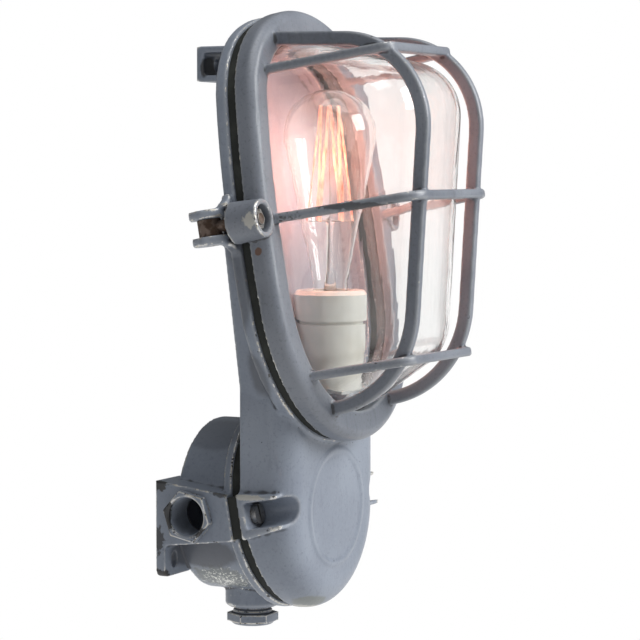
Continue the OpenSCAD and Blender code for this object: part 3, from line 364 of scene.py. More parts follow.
@dataclass(frozen=True)
class EnamelPaint:
    """Blue-grey enamel over a casting, rubbed bright and chipped along its crowns; the paler tint on
    its crowns is partly wear and partly painted highlight.

    Hold is the crown value at which it is rubbed through. A scale is in noise cells per metre,
    a span is where a mask starts and where it is full, and a share is how much shows then.
    """

    name: str
    base: Colour = (0.235, 0.268, 0.330)
    pale: Colour = (0.300, 0.338, 0.405)
    deep: Colour = (0.150, 0.170, 0.212)
    edge: Colour = (0.43, 0.455, 0.49)
    bright: Colour = (0.70, 0.70, 0.69)
    cream: Colour = (0.60, 0.57, 0.50)
    black: Colour = (0.030, 0.028, 0.027)
    rust: Colour = (0.145, 0.062, 0.032)
    surface: Surface = Surface.LIGHT
    hold: float = 0.56
    marks: tuple[Mark, ...] = ()
    broad_scale: float = 14.0
    stain_scale: float = 20.0
    group_scale: float = 26.0
    patch_scale: float = 55.0
    bloom_scale: float = 70.0
    wear_scale: float = 95.0
    speck_scale: float = 135.0
    brush_scale: float = 160.0
    chip_scale: float = 210.0
    metal_scale: float = 320.0
    mottle_scale: float = 420.0
    grain_scale: float = 900.0
    broad_span: Span = (0.32, 0.70)
    brush_span: Span = (0.55, 0.80)
    top_span: Span = (0.35, 0.95)
    light_span: Span = (0.52, 0.70)
    dark_span: Span = (0.46, 0.32)
    crown_wear_and_highlight_span: Span = (0.10, 0.55)
    hollow_dark_span: Span = (0.28, 0.80)
    brush_share: float = 0.35
    top_share: float = 0.30
    crown_wear_and_highlight_share: float = 0.55
    hollow_dark_share: float = 0.75
    bare_share: float = 0.45
    coat: float = 0.18
    rough: float = 0.26
    relief: float = 0.45

    def build(self) -> bpy.types.Material:
        """Makes the material."""
        g = Graph(self.name)
        broad = g.noise(self.broad_scale, 2.0)
        patch = g.noise(self.patch_scale, 3.0)
        grain = g.noise(self.grain_scale, 2.0, 0.6)
        brush = g.noise(self.brush_scale, 3.0, 0.6, at=g.stretched((1.0, 1.0, 0.22)))
        mottle = g.noise(self.mottle_scale, 3.0, 0.7)
        crown = g.attribute("crown")
        hollow = g.attribute("hollow")
        colour = g.mix(broad.step(*self.broad_span), self.base, self.pale)
        colour = g.mix(brush.step(*self.brush_span) * self.brush_share, colour, self.deep)
        colour = g.mix(g.facing(2).step(*self.top_span) * self.top_share, colour, self.pale)
        colour = g.mix(mottle.step(*self.light_span) * 0.30, colour, self.pale)
        colour = g.mix(mottle.step(*self.dark_span) * 0.35, colour, self.deep)
        # Paler tint on the crowns: partly wear, partly painted highlight along the rounded edges.
        colour = g.mix(crown.step(*self.crown_wear_and_highlight_span) * self.crown_wear_and_highlight_share, colour, self.edge)
        worn = crown + (g.noise(self.wear_scale, 4.0, 0.62) - 0.5) * 1.25 + (grain - 0.5) * 0.35
        rubbed = worn.step(self.hold, self.hold + 0.10)
        thin = worn.step(self.hold - 0.16, self.hold) * 0.55
        chip_start, chip_full, chip_share = self.surface.value
        chips = (g.noise(self.chip_scale, 3.0, 0.7) + crown * 0.22).step(chip_start, chip_full)
        groups = g.noise(self.group_scale, 2.0).step(0.50, 0.64)
        specks = g.cells(self.speck_scale).step(0.085, 0.055) * groups
        # Nearly black where the mesh bends inwards, in hollows and creases; rougher and less glossy
        # there too.
        dirt = (hollow * 1.2 + (patch - 0.5) * 0.7).step(*self.hollow_dark_span) * self.hollow_dark_share
        stain = g.noise(self.stain_scale, 4.0, 0.7).step(0.66, 0.80) * 0.30
        colour = g.mix(dirt, colour, self.black)
        colour = g.mix(stain, colour, self.deep)
        colour = g.mix(thin, colour, self.pale)
        metal = g.mix(g.noise(self.metal_scale, 2.0).step(0.42, 0.62), self.bright, self.cream)
        colour = g.mix(rubbed, colour, metal)
        colour = g.mix(chips * chip_share, colour, self.black)
        colour = g.mix(specks * 0.85, colour, self.black)
        bloom = g.noise(self.bloom_scale, 4.0, 0.7).step(0.70, 0.78) * hollow.step(0.25, 0.7)
        colour = g.mix(bloom * 0.7, colour, self.rust)
        bare = rubbed * self.bare_share
        for mark in self.marks:
            shown = mark.mask(g)
            colour = g.mix(shown, colour, mark.colour)
            if mark.metal:
                bare = bare.max(shown * mark.metal)
        raised = grain * 0.30 + mottle * 0.55 + brush * 0.25
        height = raised - rubbed * 0.22 - chips * 0.5 - specks * 0.6
        dull = patch * 0.22 + mottle * 0.14 + self.rough + dirt * 0.25
        shader = g.principled(
            Base_Color=colour,
            Roughness=(dull - bare * 0.20).held(),
            Metallic=bare.held(),
            Coat_Weight=((1.0 - dirt) * self.coat * (1.0 - rubbed)).held(),
            Normal=g.bump(height, 0.55, self.relief * MM),
        )
        return g.finish(shader)


CHIP: Colour = (0.022, 0.021, 0.021)
CREAM: Colour = (0.58, 0.56, 0.50)
RUST: Colour = (0.16, 0.075, 0.040)
GREEN_GREY: Colour = (0.200, 0.215, 0.190)
GLITTER: Colour = (0.17, 0.182, 0.175)
SHADE: Colour = (0.092, 0.099, 0.116)
GLINT: Colour = (0.84, 0.85, 0.80)
BODY_MARKS = (
    # Painted shade: a near-black patch on the web inside the top lug stands for the shade in its
    # hollow.
    Mark((-12.0, -6.0, 309.0), (13.0, 4.5, 9.0), CHIP, 0.92, 0.2, 120.0),
    # Painted shade on the body's side under the left flange and on the neck's upper left.
    Mark((-84.0, -82.0, 98.0), (18.0, 13.0, 34.0), SHADE, 0.72, 0.15, 60.0),
    Mark((-98.0, -74.0, 160.0), (12.0, 15.0, 50.0), SHADE, 0.65, 0.15, 60.0),
    Mark((-24.0, -91.0, -63.0), (24.0, 11.0, 7.0), GREEN_GREY, 0.75, 0.25, 120.0),
    Mark((-22.0, -84.0, -68.0), (26.0, 8.0, 3.5), CREAM, 0.8, 0.7, 200.0),
    Mark((-77.0, -72.0, 15.5), (3.0, 14.0, 2.5), CREAM, 0.8, 0.8, 420.0),
)
BOX_MARKS = (
    # Bare metal under the drum, with painted glints: the near-white flecks of the second mark.
    Mark((-30.0, -30.0, -46.0), (26.0, 26.0, 13.0), GLITTER, 0.80, 0.5, 200.0, 0.3),
    Mark((-28.0, -34.0, -48.0), (24.0, 24.0, 12.0), GLINT, 0.95, 3.0, 520.0, 0.3, 0.62),
    # Painted shade on the drum below the side block and on the drum's upper left.
    Mark((-54.0, -24.0, -30.0), (24.0, 30.0, 13.0), SHADE, 0.85, 0.2, 60.0),
    Mark((-36.0, -25.0, 54.0), (32.0, 34.0, 14.0), SHADE, 0.40, 0.15, 40.0),
    Mark((-77.0, -3.0, 21.0), (4.0, 7.0, 6.0), CHIP, 0.95, 0.8, 300.0),
    Mark((-77.0, -4.0, -43.0), (9.0, 8.0, 5.0), CHIP, 0.95, 0.8, 300.0),
    Mark((-77.0, -2.0, -18.0), (3.0, 5.0, 10.0), CHIP, 0.85, 0.9, 300.0),
    Mark((-83.5, -13.0, 0.0), (4.0, 5.0, 13.0), CHIP, 0.95, 0.8, 300.0),
    Mark((-83.5, -40.0, -12.0), (3.0, 9.0, 6.0), CHIP, 0.9, 1.0, 300.0),
    Mark((-77.0, -54.0, 17.0), (3.0, 12.0, 3.0), CHIP, 0.8, 0.9, 420.0),
)
GUARD_MARKS = (
    Mark((-117.0, -96.5, 205.0), (6.0, 5.0, 6.0), CREAM, 0.8, 0.7, 420.0),
    Mark((-100.5, -93.7, 183.5), (3.0, 3.0, 3.0), RUST, 0.9, 0.4, 300.0),
    Mark((-94.0, -113.0, 207.0), (10.0, 12.0, 5.0), CHIP, 0.8, 0.9, 300.0),
    Mark((-66.0, -150.0, 213.5), (30.0, 42.0, 3.0), CHIP, 0.75, 0.9, 260.0),
    Mark((-75.0, -125.0, 300.0), (30.0, 30.0, 5.0), CHIP, 0.45, 0.9, 300.0),
)


@dataclass(frozen=True)
class BlackRubber:
    """Old rubber, with dust and a green tinge."""

    name: str = "old_rubber"
    base: Colour = (0.011, 0.013, 0.011)
    dust: Colour = (0.050, 0.054, 0.046)

    def build(self) -> bpy.types.Material:
        """Makes the material."""
        g = Graph(self.name)
        patch = g.noise(60.0, 4.0)
        fine = g.noise(1100.0, 2.0)
        dusty = (patch + g.facing(2) * 0.12).step(0.45, 0.75) * 0.7
        height = fine * 0.5 + patch * 0.5
        shader = g.principled(
            Base_Color=g.mix(dusty, self.base, self.dust),
            Roughness=(0.62 + patch * 0.25).held(),
            Normal=g.bump(height, 0.5, 0.3 * MM),
        )
        return g.finish(shader)


@dataclass(frozen=True)
class WornMetal:
    """A bare metal with tarnish or rust over it."""

    name: str
    base: Colour
    tarnish: Colour
    cover: float = 0.5
    rough: float = 0.35
    metallic: float = 1.0

    def build(self) -> bpy.types.Material:
        """Makes the material."""
        g = Graph(self.name)
        patch = g.noise(150.0, 4.0, 0.65)
        fine = g.noise(1500.0, 2.0)
        over = (patch + (fine - 0.5) * 0.3).step(0.68 - 0.36 * self.cover, 0.86 - 0.36 * self.cover)
        shader = g.principled(
            Base_Color=g.mix(over, self.base, self.tarnish),
            Metallic=(self.metallic * (1.0 - over * 0.85)).held(),
            Roughness=(self.rough + over * 0.4 + (fine - 0.5) * 0.15).held(),
            Normal=g.bump(fine * 0.4 + over * 0.6, 0.45, 0.12 * MM),
        )
        return g.finish(shader)


@dataclass(frozen=True)
class Porcelain:
    """Cream-white glazed porcelain with faint dirt."""

    name: str = "glazed_porcelain"
    base: Colour = (0.80, 0.775, 0.71)
    warm: Colour = (0.62, 0.57, 0.47)
    speck: Colour = (0.20, 0.17, 0.13)

    def build(self) -> bpy.types.Material:
        """Makes the material."""
        g = Graph(self.name)
        patch = g.noise(32.0, 3.0)
        specks = g.cells(260.0).step(0.06, 0.03) * g.noise(60.0, 1.0).step(0.55, 0.65)
        colour = g.mix(patch.step(0.40, 0.80) * 0.55, self.base, self.warm)
        colour = g.mix(specks * 0.7, colour, self.speck)
        shader = g.principled(
            Base_Color=colour,
            Roughness=(0.16 + patch * 0.14).held(),
            Coat_Weight=(0.6 - patch * 0.3).held(),
            Normal=g.bump(g.noise(90.0, 2.0), 0.25, 0.35 * MM),
        )
        return g.finish(shader)


@dataclass(frozen=True)
class ClearGlass:
    """Clear glass with a dusty film and soft pressing ripples."""

    name: str
    tint: Colour = (0.975, 0.985, 0.98)
    dust: Colour = (0.86, 0.85, 0.83)
    shadow: Colour = (0.93, 0.94, 0.935)
    film: float = 0.05
    ripple: float = 0.2

    def build(self) -> bpy.types.Material:
        """Makes the material."""
        g = Graph(self.name)
        streaks = g.noise(70.0, 3.0, 0.6, at=g.stretched((1.0, 1.0, 0.10), math.radians(-10.0)))
        patch = g.noise(24.0, 3.0)
        glass = g.principled(
            Base_Color=self.tint,
            Roughness=(streaks.step(0.55, 0.85) * 0.06 + 0.015).held(),
            IOR=1.47,
            Transmission_Weight=1.0,
            Normal=g.bump(streaks * 0.7 + patch * 0.6, self.ripple, 0.8 * MM),
        )
        film = g.node("ShaderNodeBsdfDiffuse", None, {"Color": self.dust})
        amount = (streaks.step(0.40, 0.80) * 0.7 + patch.step(0.35, 0.75) * 0.5 + 0.25) * self.film
        dusty = g.blend(amount.held(), glass, film)
        clear = g.node("ShaderNodeBsdfTransparent", None, {"Color": self.shadow})
        passing = g.ray("Is Shadow Ray").max(g.ray("Is Diffuse Ray"))
        return g.finish(g.blend(passing, dusty, clear))


@dataclass(frozen=True)
class GlowingWire:
    """The hot filament."""

    name: str = "glowing_wire"
    cold: Colour = (0.30, 0.18, 0.10)
    core: Colour = (1.0, 0.51, 0.38)
    edge: Colour = (1.0, 0.14, 0.08)
    strength: float = 1.35

    def build(self) -> bpy.types.Material:
        """Makes the material."""
        g = Graph(self.name)
        waver = g.noise(140.0, 2.0)
        shader = g.principled(
            Base_Color=self.cold,
            Roughness=0.6,
            Emission_Color=g.mix(waver.step(0.35, 0.65), self.core, self.edge),
            Emission_Strength=self.strength,
        )
        return g.finish(shader)


@dataclass(frozen=True)
class WireCover:
    """Plastic insulation, black on one wire and grey on the other."""

    name: str = "wire_cover"
    left: Colour = (0.022, 0.022, 0.024)
    right: Colour = (0.26, 0.25, 0.23)
    dust: Colour = (0.12, 0.11, 0.10)

    def build(self) -> bpy.types.Material:
        """Makes the material."""
        g = Graph(self.name)
        patch = g.noise(90.0, 3.0)
        colour = g.mix(g.axis(0).step(-MM, MM), self.left, self.right)
        colour = g.mix(patch.step(0.5, 0.8) * 0.4, colour, self.dust)
        shader = g.principled(
            Base_Color=colour,
            Roughness=(0.38 + patch * 0.2).held(),
            Normal=g.bump(patch, 0.2, 0.1 * MM),
        )
        return g.finish(shader)


# Mesh helpers.


def put(mesh: bpy.types.Mesh, name: str) -> bpy.types.Object:
    """Links a mesh into the scene at the origin.

    Args:
        mesh: The mesh.
        name: The object's name.

    Returns:
        The object.
    """
    obj = bpy.data.objects.new(name, mesh)
    bpy.context.scene.collection.objects.link(obj)
    return obj


def applied(obj: bpy.types.Object, name: str) -> bpy.types.Mesh:
    """Evaluates an object's modifiers into a new mesh and deletes the object.

    Args:
        obj: The object with its modifiers.
        name: Name of the new mesh.

    Returns:
        The mesh.
    """
    graph = bpy.context.evaluated_depsgraph_get()
    mesh = bpy.data.meshes.new_from_object(obj.evaluated_get(graph), depsgraph=graph)
    mesh.name = name
    bpy.data.objects.remove(obj, do_unlink=True)
    return mesh


def softened(mesh: bpy.types.Mesh, name: str, voxel: float, passes: int) -> bpy.types.Mesh:
    """Remeshes a closed form into small even cells and rounds its corners.

    Args:
        mesh: The closed form.
        name: Name of the new mesh.
        voxel: Size of a cell in metres.
        passes: Rounds of smoothing.

    Returns:
        The new mesh.
    """
    obj = put(mesh, name)
    remesh = obj.modifiers.new("voxels", "REMESH")
    remesh.mode = "VOXEL"
    remesh.voxel_size = voxel
    remesh.use_smooth_shade = True
    soften = obj.modifiers.new("soften", "SMOOTH")
    soften.factor = 0.5
    soften.iterations = passes
    return applied(obj, name)


def smooth(mesh: bpy.types.Mesh) -> None:
    """Shades a mesh smooth."""
    mesh.polygons.foreach_set("use_smooth", [True] * len(mesh.polygons))
    mesh.update()


def paint(mesh: bpy.types.Mesh, finish: bpy.types.Material) -> None:
    """Gives a mesh one material."""
    mesh.materials.clear()
    mesh.materials.append(finish)


def triangles(mesh: bpy.types.Mesh) -> int:
    """The number of triangles of a mesh."""
    return sum(len(p.vertices) - 2 for p in mesh.polygons)


def head_point(x: float, up: float, out: float) -> Vector:
    """A point of the leaning head.

    Args:
        x: Distance to the right, in mm.
        up: Height along the flange, in mm.
        out: Distance in front of the flange, in mm.

    Returns:
        The point in metres, in the frame of the solids.
    """
    return Vector((
        x * MM,
        (HEAD_Y + up * math.sin(HEAD_LEAN) - out * math.cos(HEAD_LEAN)) * MM,
        (HEAD_Z + up * math.cos(HEAD_LEAN) + out * math.sin(HEAD_LEAN)) * MM,
    ))


@dataclass
class Oval:
    """The outline that flange, gasket, dome and guard ring share, in mm."""

    half_width: float = 101.0
    half_length: float = 151.5
    shift: float = -1.5
    side_radius: float = 600.0
    corner_radius: float = 72.0
    corner_up: float = 75.0
    widest_up: float = -28.0

    def arcs(self) -> list[tuple[float, float, float, float, float]]:
        """The six tangent arcs.

        Returns:
            Centre x, centre height, radius, first and last angle in degrees for each arc.
        """
        side_c = self.side_radius - self.half_width
        side_v = self.shift + self.widest_up
        rise = side_v - (self.shift - self.half_length)
        low_r = (self.side_radius**2 - side_c**2 - rise**2) / (2 * (self.side_radius - rise))
        low_v = self.shift - self.half_length + low_r
        corner_v = self.shift + self.corner_up
        reach = self.side_radius - self.corner_radius
        corner_x = math.sqrt(reach**2 - (corner_v - side_v) ** 2) - side_c
        top = self.shift + self.half_length - corner_v
        crown_r = (corner_x**2 + top**2 - self.corner_radius**2) / (2 * (top - self.corner_radius))
        crown_v = self.shift + self.half_length - crown_r
        a_low = math.degrees(math.atan2(low_v - side_v, side_c))
        a_side = math.degrees(math.atan2(corner_v - side_v, corner_x + side_c))
        a_corner = math.degrees(math.atan2(corner_v - crown_v, corner_x))
        return [
            (-side_c, side_v, self.side_radius, a_low, a_side),
            (corner_x, corner_v, self.corner_radius, a_side, a_corner),
            (0.0, crown_v, crown_r, a_corner, 180 - a_corner),
            (-corner_x, corner_v, self.corner_radius, 180 - a_corner, 180 - a_side),
            (side_c, side_v, self.side_radius, 180 - a_side, 180 - a_low),
            (0.0, low_v, low_r, 180 - a_low, 360 + a_low),
        ]

    def points(self, inset: float, each: int = 24) -> list[tuple[float, float]]:
        """Points round the oval, moved inwards.

        Args:
            inset: Distance inwards, in mm.
            each: Points on each arc.

        Returns:
            The points as x and height in mm, turning left.
        """
        made = []
        for cx, cv, radius, first, last in self.arcs():
            for i in range(each):
                a = math.radians(first + (last - first) * i / each)
                made.append((cx + (radius - inset) * math.cos(a), cv + (radius - inset) * math.sin(a)))
        return made


@dataclass
class Casting:
    """A painted casting: its solid with softened corners, and numbers for crowns and hollows."""

    node: str
    body: Body
    voxel: float
    passes: int = 3
    faces: int = 190000
    weld: float = 2e-6
    spread: int = 3
    crown_bend: float = 0.42
    hollow_bend: float = 0.30
    ceiling: float = 0.85

    def crown_values(self, mesh: bpy.types.Mesh) -> None:
        """Stores how far each point is on a crown or in a hollow.

        Args:
            mesh: The mesh that gets the attributes "crown" and "hollow".
        """
        count = len(mesh.vertices)
        place = np.empty(count * 3)
        mesh.vertices.foreach_get("co", place)
        place = place.reshape(-1, 3)
        ends = np.empty(len(mesh.edges) * 2, dtype=np.int64)
        mesh.edges.foreach_get("vertices", ends)
        ends = ends.reshape(-1, 2)
        normal = np.empty(count * 3)
        mesh.vertex_normals.foreach_get("vector", normal)
        normal = normal.reshape(-1, 3)
        degree = np.zeros(count)
        np.add.at(degree, ends.ravel(), 1.0)
        degree = np.maximum(degree, 1.0)

        def mean(values: np.ndarray) -> np.ndarray:
            """Mean over the neighbours of each point."""
            total = np.zeros_like(values)
            np.add.at(total, ends[:, 0], values[ends[:, 1]])
            np.add.at(total, ends[:, 1], values[ends[:, 0]])
            return total / (degree[:, None] if values.ndim == 2 else degree)

        length = np.linalg.norm(place[ends[:, 0]] - place[ends[:, 1]], axis=1)
        span = np.zeros(count)
        np.add.at(span, ends[:, 0], length)
        np.add.at(span, ends[:, 1], length)
        span /= degree
        lift = np.einsum("ij,ij->i", mean(place) - place, normal)
        bend = -2.0 * lift / np.maximum(span, 1e-5) ** 2
        bend *= MM
        for _ in range(self.spread):
            bend = 0.5 * bend + 0.5 * mean(bend)
        for name, values in (("crown", bend / self.crown_bend), ("hollow", -bend / self.hollow_bend)):
            held = np.clip(values, 0.0, self.ceiling).astype(np.float32)
            layer = mesh.attributes.new(name, "FLOAT", "POINT")
            layer.data.foreach_set("value", held)

    def build(self, finish: bpy.types.Material) -> bpy.types.Object:
        """Makes the softened casting and lets it stand for its node.

        Args:
            finish: The paint.

        Returns:
            The piece.
        """
        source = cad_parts[self.node]
        form = bmesh.new()
        form.from_mesh(source.data)
        bmesh.ops.remove_doubles(form, verts=form.verts, dist=self.weld)
        copy = bpy.data.meshes.new(self.node + "_form")
        form.to_mesh(copy)
        form.free()
        mesh = softened(copy, self.node + "_fine", self.voxel, self.passes)
        count = triangles(mesh)
        if count > self.faces:
            obj = put(mesh, self.node + "_thin")
            thin = obj.modifiers.new("thin", "DECIMATE")
            thin.ratio = self.faces / count
            mesh = applied(obj, self.node + "_cast")
        self.crown_values(mesh)
        smooth(mesh)
        paint(mesh, finish)
        piece = put(mesh, self.node + "_cast")
        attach(piece, self.body.value)
        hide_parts(self.node)
        LOG.info("%s: %d triangles from %d", piece.name, triangles(mesh), count)
        return piece


# Geometry Nodes.


class NodeRecipe:
    """A Geometry Nodes tree with named inputs, built in the script."""

    def __init__(self, name: str, takes_mesh: bool) -> None:
        """Starts a tree.

        Args:
            name: The tree's name.
            takes_mesh: Whether the tree reads the mesh it sits on.
        """
        self.tree = bpy.data.node_groups.new(name, "GeometryNodeTree")
        if takes_mesh:
            self.tree.interface.new_socket("Mesh", in_out="INPUT", socket_type="NodeSocketGeometry")
        self.tree.interface.new_socket("Geometry", in_out="OUTPUT", socket_type="NodeSocketGeometry")
        self.source = self.tree.nodes.new("NodeGroupInput")
        self.sink = self.tree.nodes.new("NodeGroupOutput")
        self.identifiers: dict[str, str] = {}

    def input(self, name: str, kind: str, value: object) -> bpy.types.NodeSocket:
        """Adds a named input.

        Args:
            name: The input's name.
            kind: The socket's type.
            value: The default value.

        Returns:
            The socket inside the tree.
        """
        item = self.tree.interface.new_socket(name, in_out="INPUT", socket_type=kind)
        if value is not None:
            item.default_value = value
        self.identifiers[name] = item.identifier
        return self.source.outputs[name]

    def node(
        self, kind: str, settings: Settings | None = None, inputs: Inputs | None = None
    ) -> bpy.types.Node:
        """Adds one node to the tree, as add_node does."""
        return add_node(self.tree, kind, settings, inputs)

    def end(self, geometry: bpy.types.NodeSocket, material: bpy.types.NodeSocket) -> None:
        """Ends the tree in Realize Instances and Set Material."""
        real = self.node("GeometryNodeRealizeInstances", None, {0: geometry})
        inputs = {"Geometry": real.outputs[0], "Material": material}
        painted = self.node("GeometryNodeSetMaterial", None, inputs)
        self.tree.links.new(painted.outputs[0], self.sink.inputs[0])

    def run(self, base: bpy.types.Mesh, name: str, values: dict[str, object]) -> bpy.types.Mesh:
        """Evaluates the tree on a mesh.

        Args:
            base: The mesh that the tree sits on.
            name: Name of the result.
            values: Values by input name.

        Returns:
            The resulting mesh.
        """
        obj = put(base, name + "_base")
        modifier = obj.modifiers.new("recipe", "NODES")
        modifier.node_group = self.tree
        for key, value in values.items():
            modifier[self.identifiers[key]] = value
        return applied(obj, name)


def coil_recipe() -> NodeRecipe:
    """A tree that runs a fine coil of wire from each point along its "aim".

    Returns:
        The recipe, with inputs Turns, Coil Radius, Length, Wire Radius and Material.
    """
    r = NodeRecipe("coiled_strands", True)
    turns = r.input("Turns", "NodeSocketFloat", 60.0)
    coil = r.input("Coil Radius", "NodeSocketFloat", 0.0006)
    length = r.input("Length", "NodeSocketFloat", 0.08)
    wire = r.input("Wire Radius", "NodeSocketFloat", 0.0001)
    material = r.input("Material", "NodeSocketMaterial", None)
    spiral = r.node(
        "GeometryNodeCurveSpiral", None,
        {
            "Resolution": 7, "Rotations": turns, "Start Radius": coil, "End Radius": coil,
            "Height": length,
        },
    )
    profile = r.node("GeometryNodeCurvePrimitiveCircle", None, {"Resolution": 4, "Radius": wire})
    tube = r.node(
        "GeometryNodeCurveToMesh", None,
        {"Curve": spiral.outputs[0], "Profile Curve": profile.outputs[0], "Fill Caps": True},
    )
    aim = r.node("GeometryNodeInputNamedAttribute", {"data_type": "FLOAT_VECTOR"}, {"Name": "aim"})
    turn = r.node("FunctionNodeAlignRotationToVector", {"axis": "Z"}, {"Vector": aim.outputs[0]})
    placed = r.node(
        "GeometryNodeInstanceOnPoints", None,
        {"Points": r.source.outputs["Mesh"], "Instance": tube.outputs[0], "Rotation": turn.outputs[0]},
    )
    r.end(placed.outputs[0], material)
    return r


def ridge_recipe() -> NodeRecipe:
    """A tree that lays evenly spaced round ridges along Z, as a drawn thread.

    Returns:
        The recipe, with inputs Radius, Pitch, Count, Ridge and Material.
    """
    r = NodeRecipe("thread_ridges", True)
    radius = r.input("Radius", "NodeSocketFloat", 0.004)
    pitch = r.input("Pitch", "NodeSocketFloat", 0.00125)
    count = r.input("Count", "NodeSocketInt", 8)
    ridge = r.input("Ridge", "NodeSocketFloat", 0.0003)
    material = r.input("Material", "NodeSocketMaterial", None)
    ring = r.node("GeometryNodeCurvePrimitiveCircle", None, {"Resolution": 48, "Radius": radius})
    profile = r.node("GeometryNodeCurvePrimitiveCircle", None, {"Resolution": 6, "Radius": ridge})
    tube = r.node(
        "GeometryNodeCurveToMesh", None, {"Curve": ring.outputs[0], "Profile Curve": profile.outputs[0]}
    )
    step = r.node("ShaderNodeCombineXYZ", None, {"Z": pitch})
    line = r.node(
        "GeometryNodeMeshLine", {"mode": "OFFSET"}, {"Count": count, "Offset": step.outputs[0]}
    )
    placed = r.node(
        "GeometryNodeInstanceOnPoints", None, {"Points": line.outputs[0], "Instance": tube.outputs[0]}
    )
    r.end(placed.outputs[0], material)
    return r


@dataclass
class Thread:
    """Drawn thread ridges on one shank or in one bore, with radius, pitch and ridge in mm."""

    name: str
    body: Body
    slot: str
    radius: float
    pitch: float
    count: int
    ridge: float
    start: Vector
    along: Vector

    def build(self, recipe: NodeRecipe, finish: bpy.types.Material) -> bpy.types.Object:
        """Makes the ridges.

        Args:
            recipe: The ridge tree.
            finish: The metal.

        Returns:
            The piece.
        """
        base = bpy.data.meshes.new(self.name + "_start")
        mesh = recipe.run(base, self.name, {
            "Radius": self.radius * MM,
            "Pitch": self.pitch * MM,
            "Count": self.count,
            "Ridge": self.ridge * MM,
            "Material": finish,
        })
        turn = self.along.normalized().to_track_quat("Z", "Y").to_matrix().to_4x4()
        mesh.transform(Matrix.Translation(self.start) @ turn)
        smooth(mesh)
        piece = put(mesh, self.name)
        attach(piece, self.body.value)
        LOG.info("%s: %d faces", self.name, len(mesh.polygons))
        return piece


# Sub-assemblies.


@dataclass
class GlassDome:
    """The pressed glass dome: an oval rim, slanting sides and a flat leaning front, in mm."""

    oval: Oval = field(default_factory=Oval)
    inset: float = 22.0
    rim_out: float = 12.0
    rim_back: float = 7.2
    rim_thick: float = 4.5
    wall: float = 3.9
    ball: float = 38.0
    ball_x: float = 26.0
    ball_up: tuple[float, float] = (65.0, -75.0)
    front: float = 100.6
    lean: float = 0.235
    voxel: float = 2.2
    passes: int = 14
    skin_reach: float = 14.0
    steps: int = 24
    gap: float = 0.1
    overlap: float = 0.35

    def ball_out(self, up: float) -> float:
        """Distance of a front ball's centre from the flange."""
        return self.front + self.lean * up - self.ball * math.sqrt(1 + self.lean**2)

    def outer(self) -> bpy.types.Mesh:
        """The outer skin, closed below the rim.

        Returns:
            The mesh.
        """
        form = bmesh.new()
        for out in (self.rim_back - self.skin_reach, self.rim_back + self.skin_reach):
            for x, up in self.oval.points(self.inset):
                form.verts.new(head_point(x, up, out))
        for side in (-1, 1):
            for up in self.ball_up:
                for i in range(1, self.steps):
                    for j in range(2 * self.steps):
                        a, b = math.pi * i / self.steps, math.pi * j / self.steps
                        form.verts.new(head_point(
                            side * self.ball_x + self.ball * math.sin(a) * math.cos(b),
                            up + self.ball * math.sin(a) * math.sin(b),
                            self.ball_out(up) + self.ball * math.cos(a),
                        ))
        hull = bmesh.ops.convex_hull(form, input=form.verts)
        loose = [v for v in hull["geom_interior"] if isinstance(v, bmesh.types.BMVert)]
        bmesh.ops.delete(form, geom=loose, context="VERTS")
        mesh = bpy.data.meshes.new("dome_form")
        form.to_mesh(mesh)
        form.free()
        return softened(mesh, "dome_skin", self.voxel * MM, self.passes)

    def rim(self, form: bmesh.types.BMesh) -> None:
        """Adds the flat rim as a closed ring.

        Args:
            form: The mesh that gets the ring.
        """
        low, high = self.rim_back + self.gap, self.rim_back + self.rim_thick - self.gap
        inner, outer = self.inset - self.overlap, self.inset - self.rim_out
        section = ((inner, low), (outer, low), (outer, high), (inner, high))
        loops = []
        for inset, out in section:
            loops.append([form.verts.new(head_point(x, up, out)) for x, up in self.oval.points(inset)])
        count = len(loops[0])
        made = []
        for k, first in enumerate(loops):
            second = loops[(k + 1) % len(loops)]
            for i in range(count):
                j = (i + 1) % count
                made.append(form.faces.new((first[i], first[j], second[j], second[i])))
        bmesh.ops.recalc_face_normals(form, faces=made)

    def build(self, finish: bpy.types.Material) -> bpy.types.Object:
        """Makes the dome and lets it stand for its node.

        Args:
            finish: The glass.

        Returns:
            The piece.
        """
        skin = self.outer()
        form = bmesh.new()
        form.from_mesh(skin)
        everything = form.verts[:] + form.edges[:] + form.faces[:]
        bmesh.ops.bisect_plane(
            form,
            geom=everything,
            plane_co=head_point(0, 0, self.rim_back + self.gap),
            plane_no=head_point(0, 0, 1) - head_point(0, 0, 0),
            clear_inner=True,
        )
        bmesh.ops.recalc_face_normals(form, faces=form.faces)
        form.to_mesh(skin)
        form.free()
        obj = put(skin, "dome_shell")
        thick = obj.modifiers.new("wall", "SOLIDIFY")
        thick.thickness = self.wall * MM
        thick.offset = -1.0
        shell = applied(obj, "dome_glass")
        form = bmesh.new()
        form.from_mesh(shell)
        self.rim(form)
        form.to_mesh(shell)
        form.free()
        smooth(shell)
        paint(shell, finish)
        piece = put(shell, "dome_glass")
        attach(piece, Body.GUARD.value)
        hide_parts("glass_dome")
        LOG.info("dome_glass: %d faces", len(shell.polygons))
        return piece


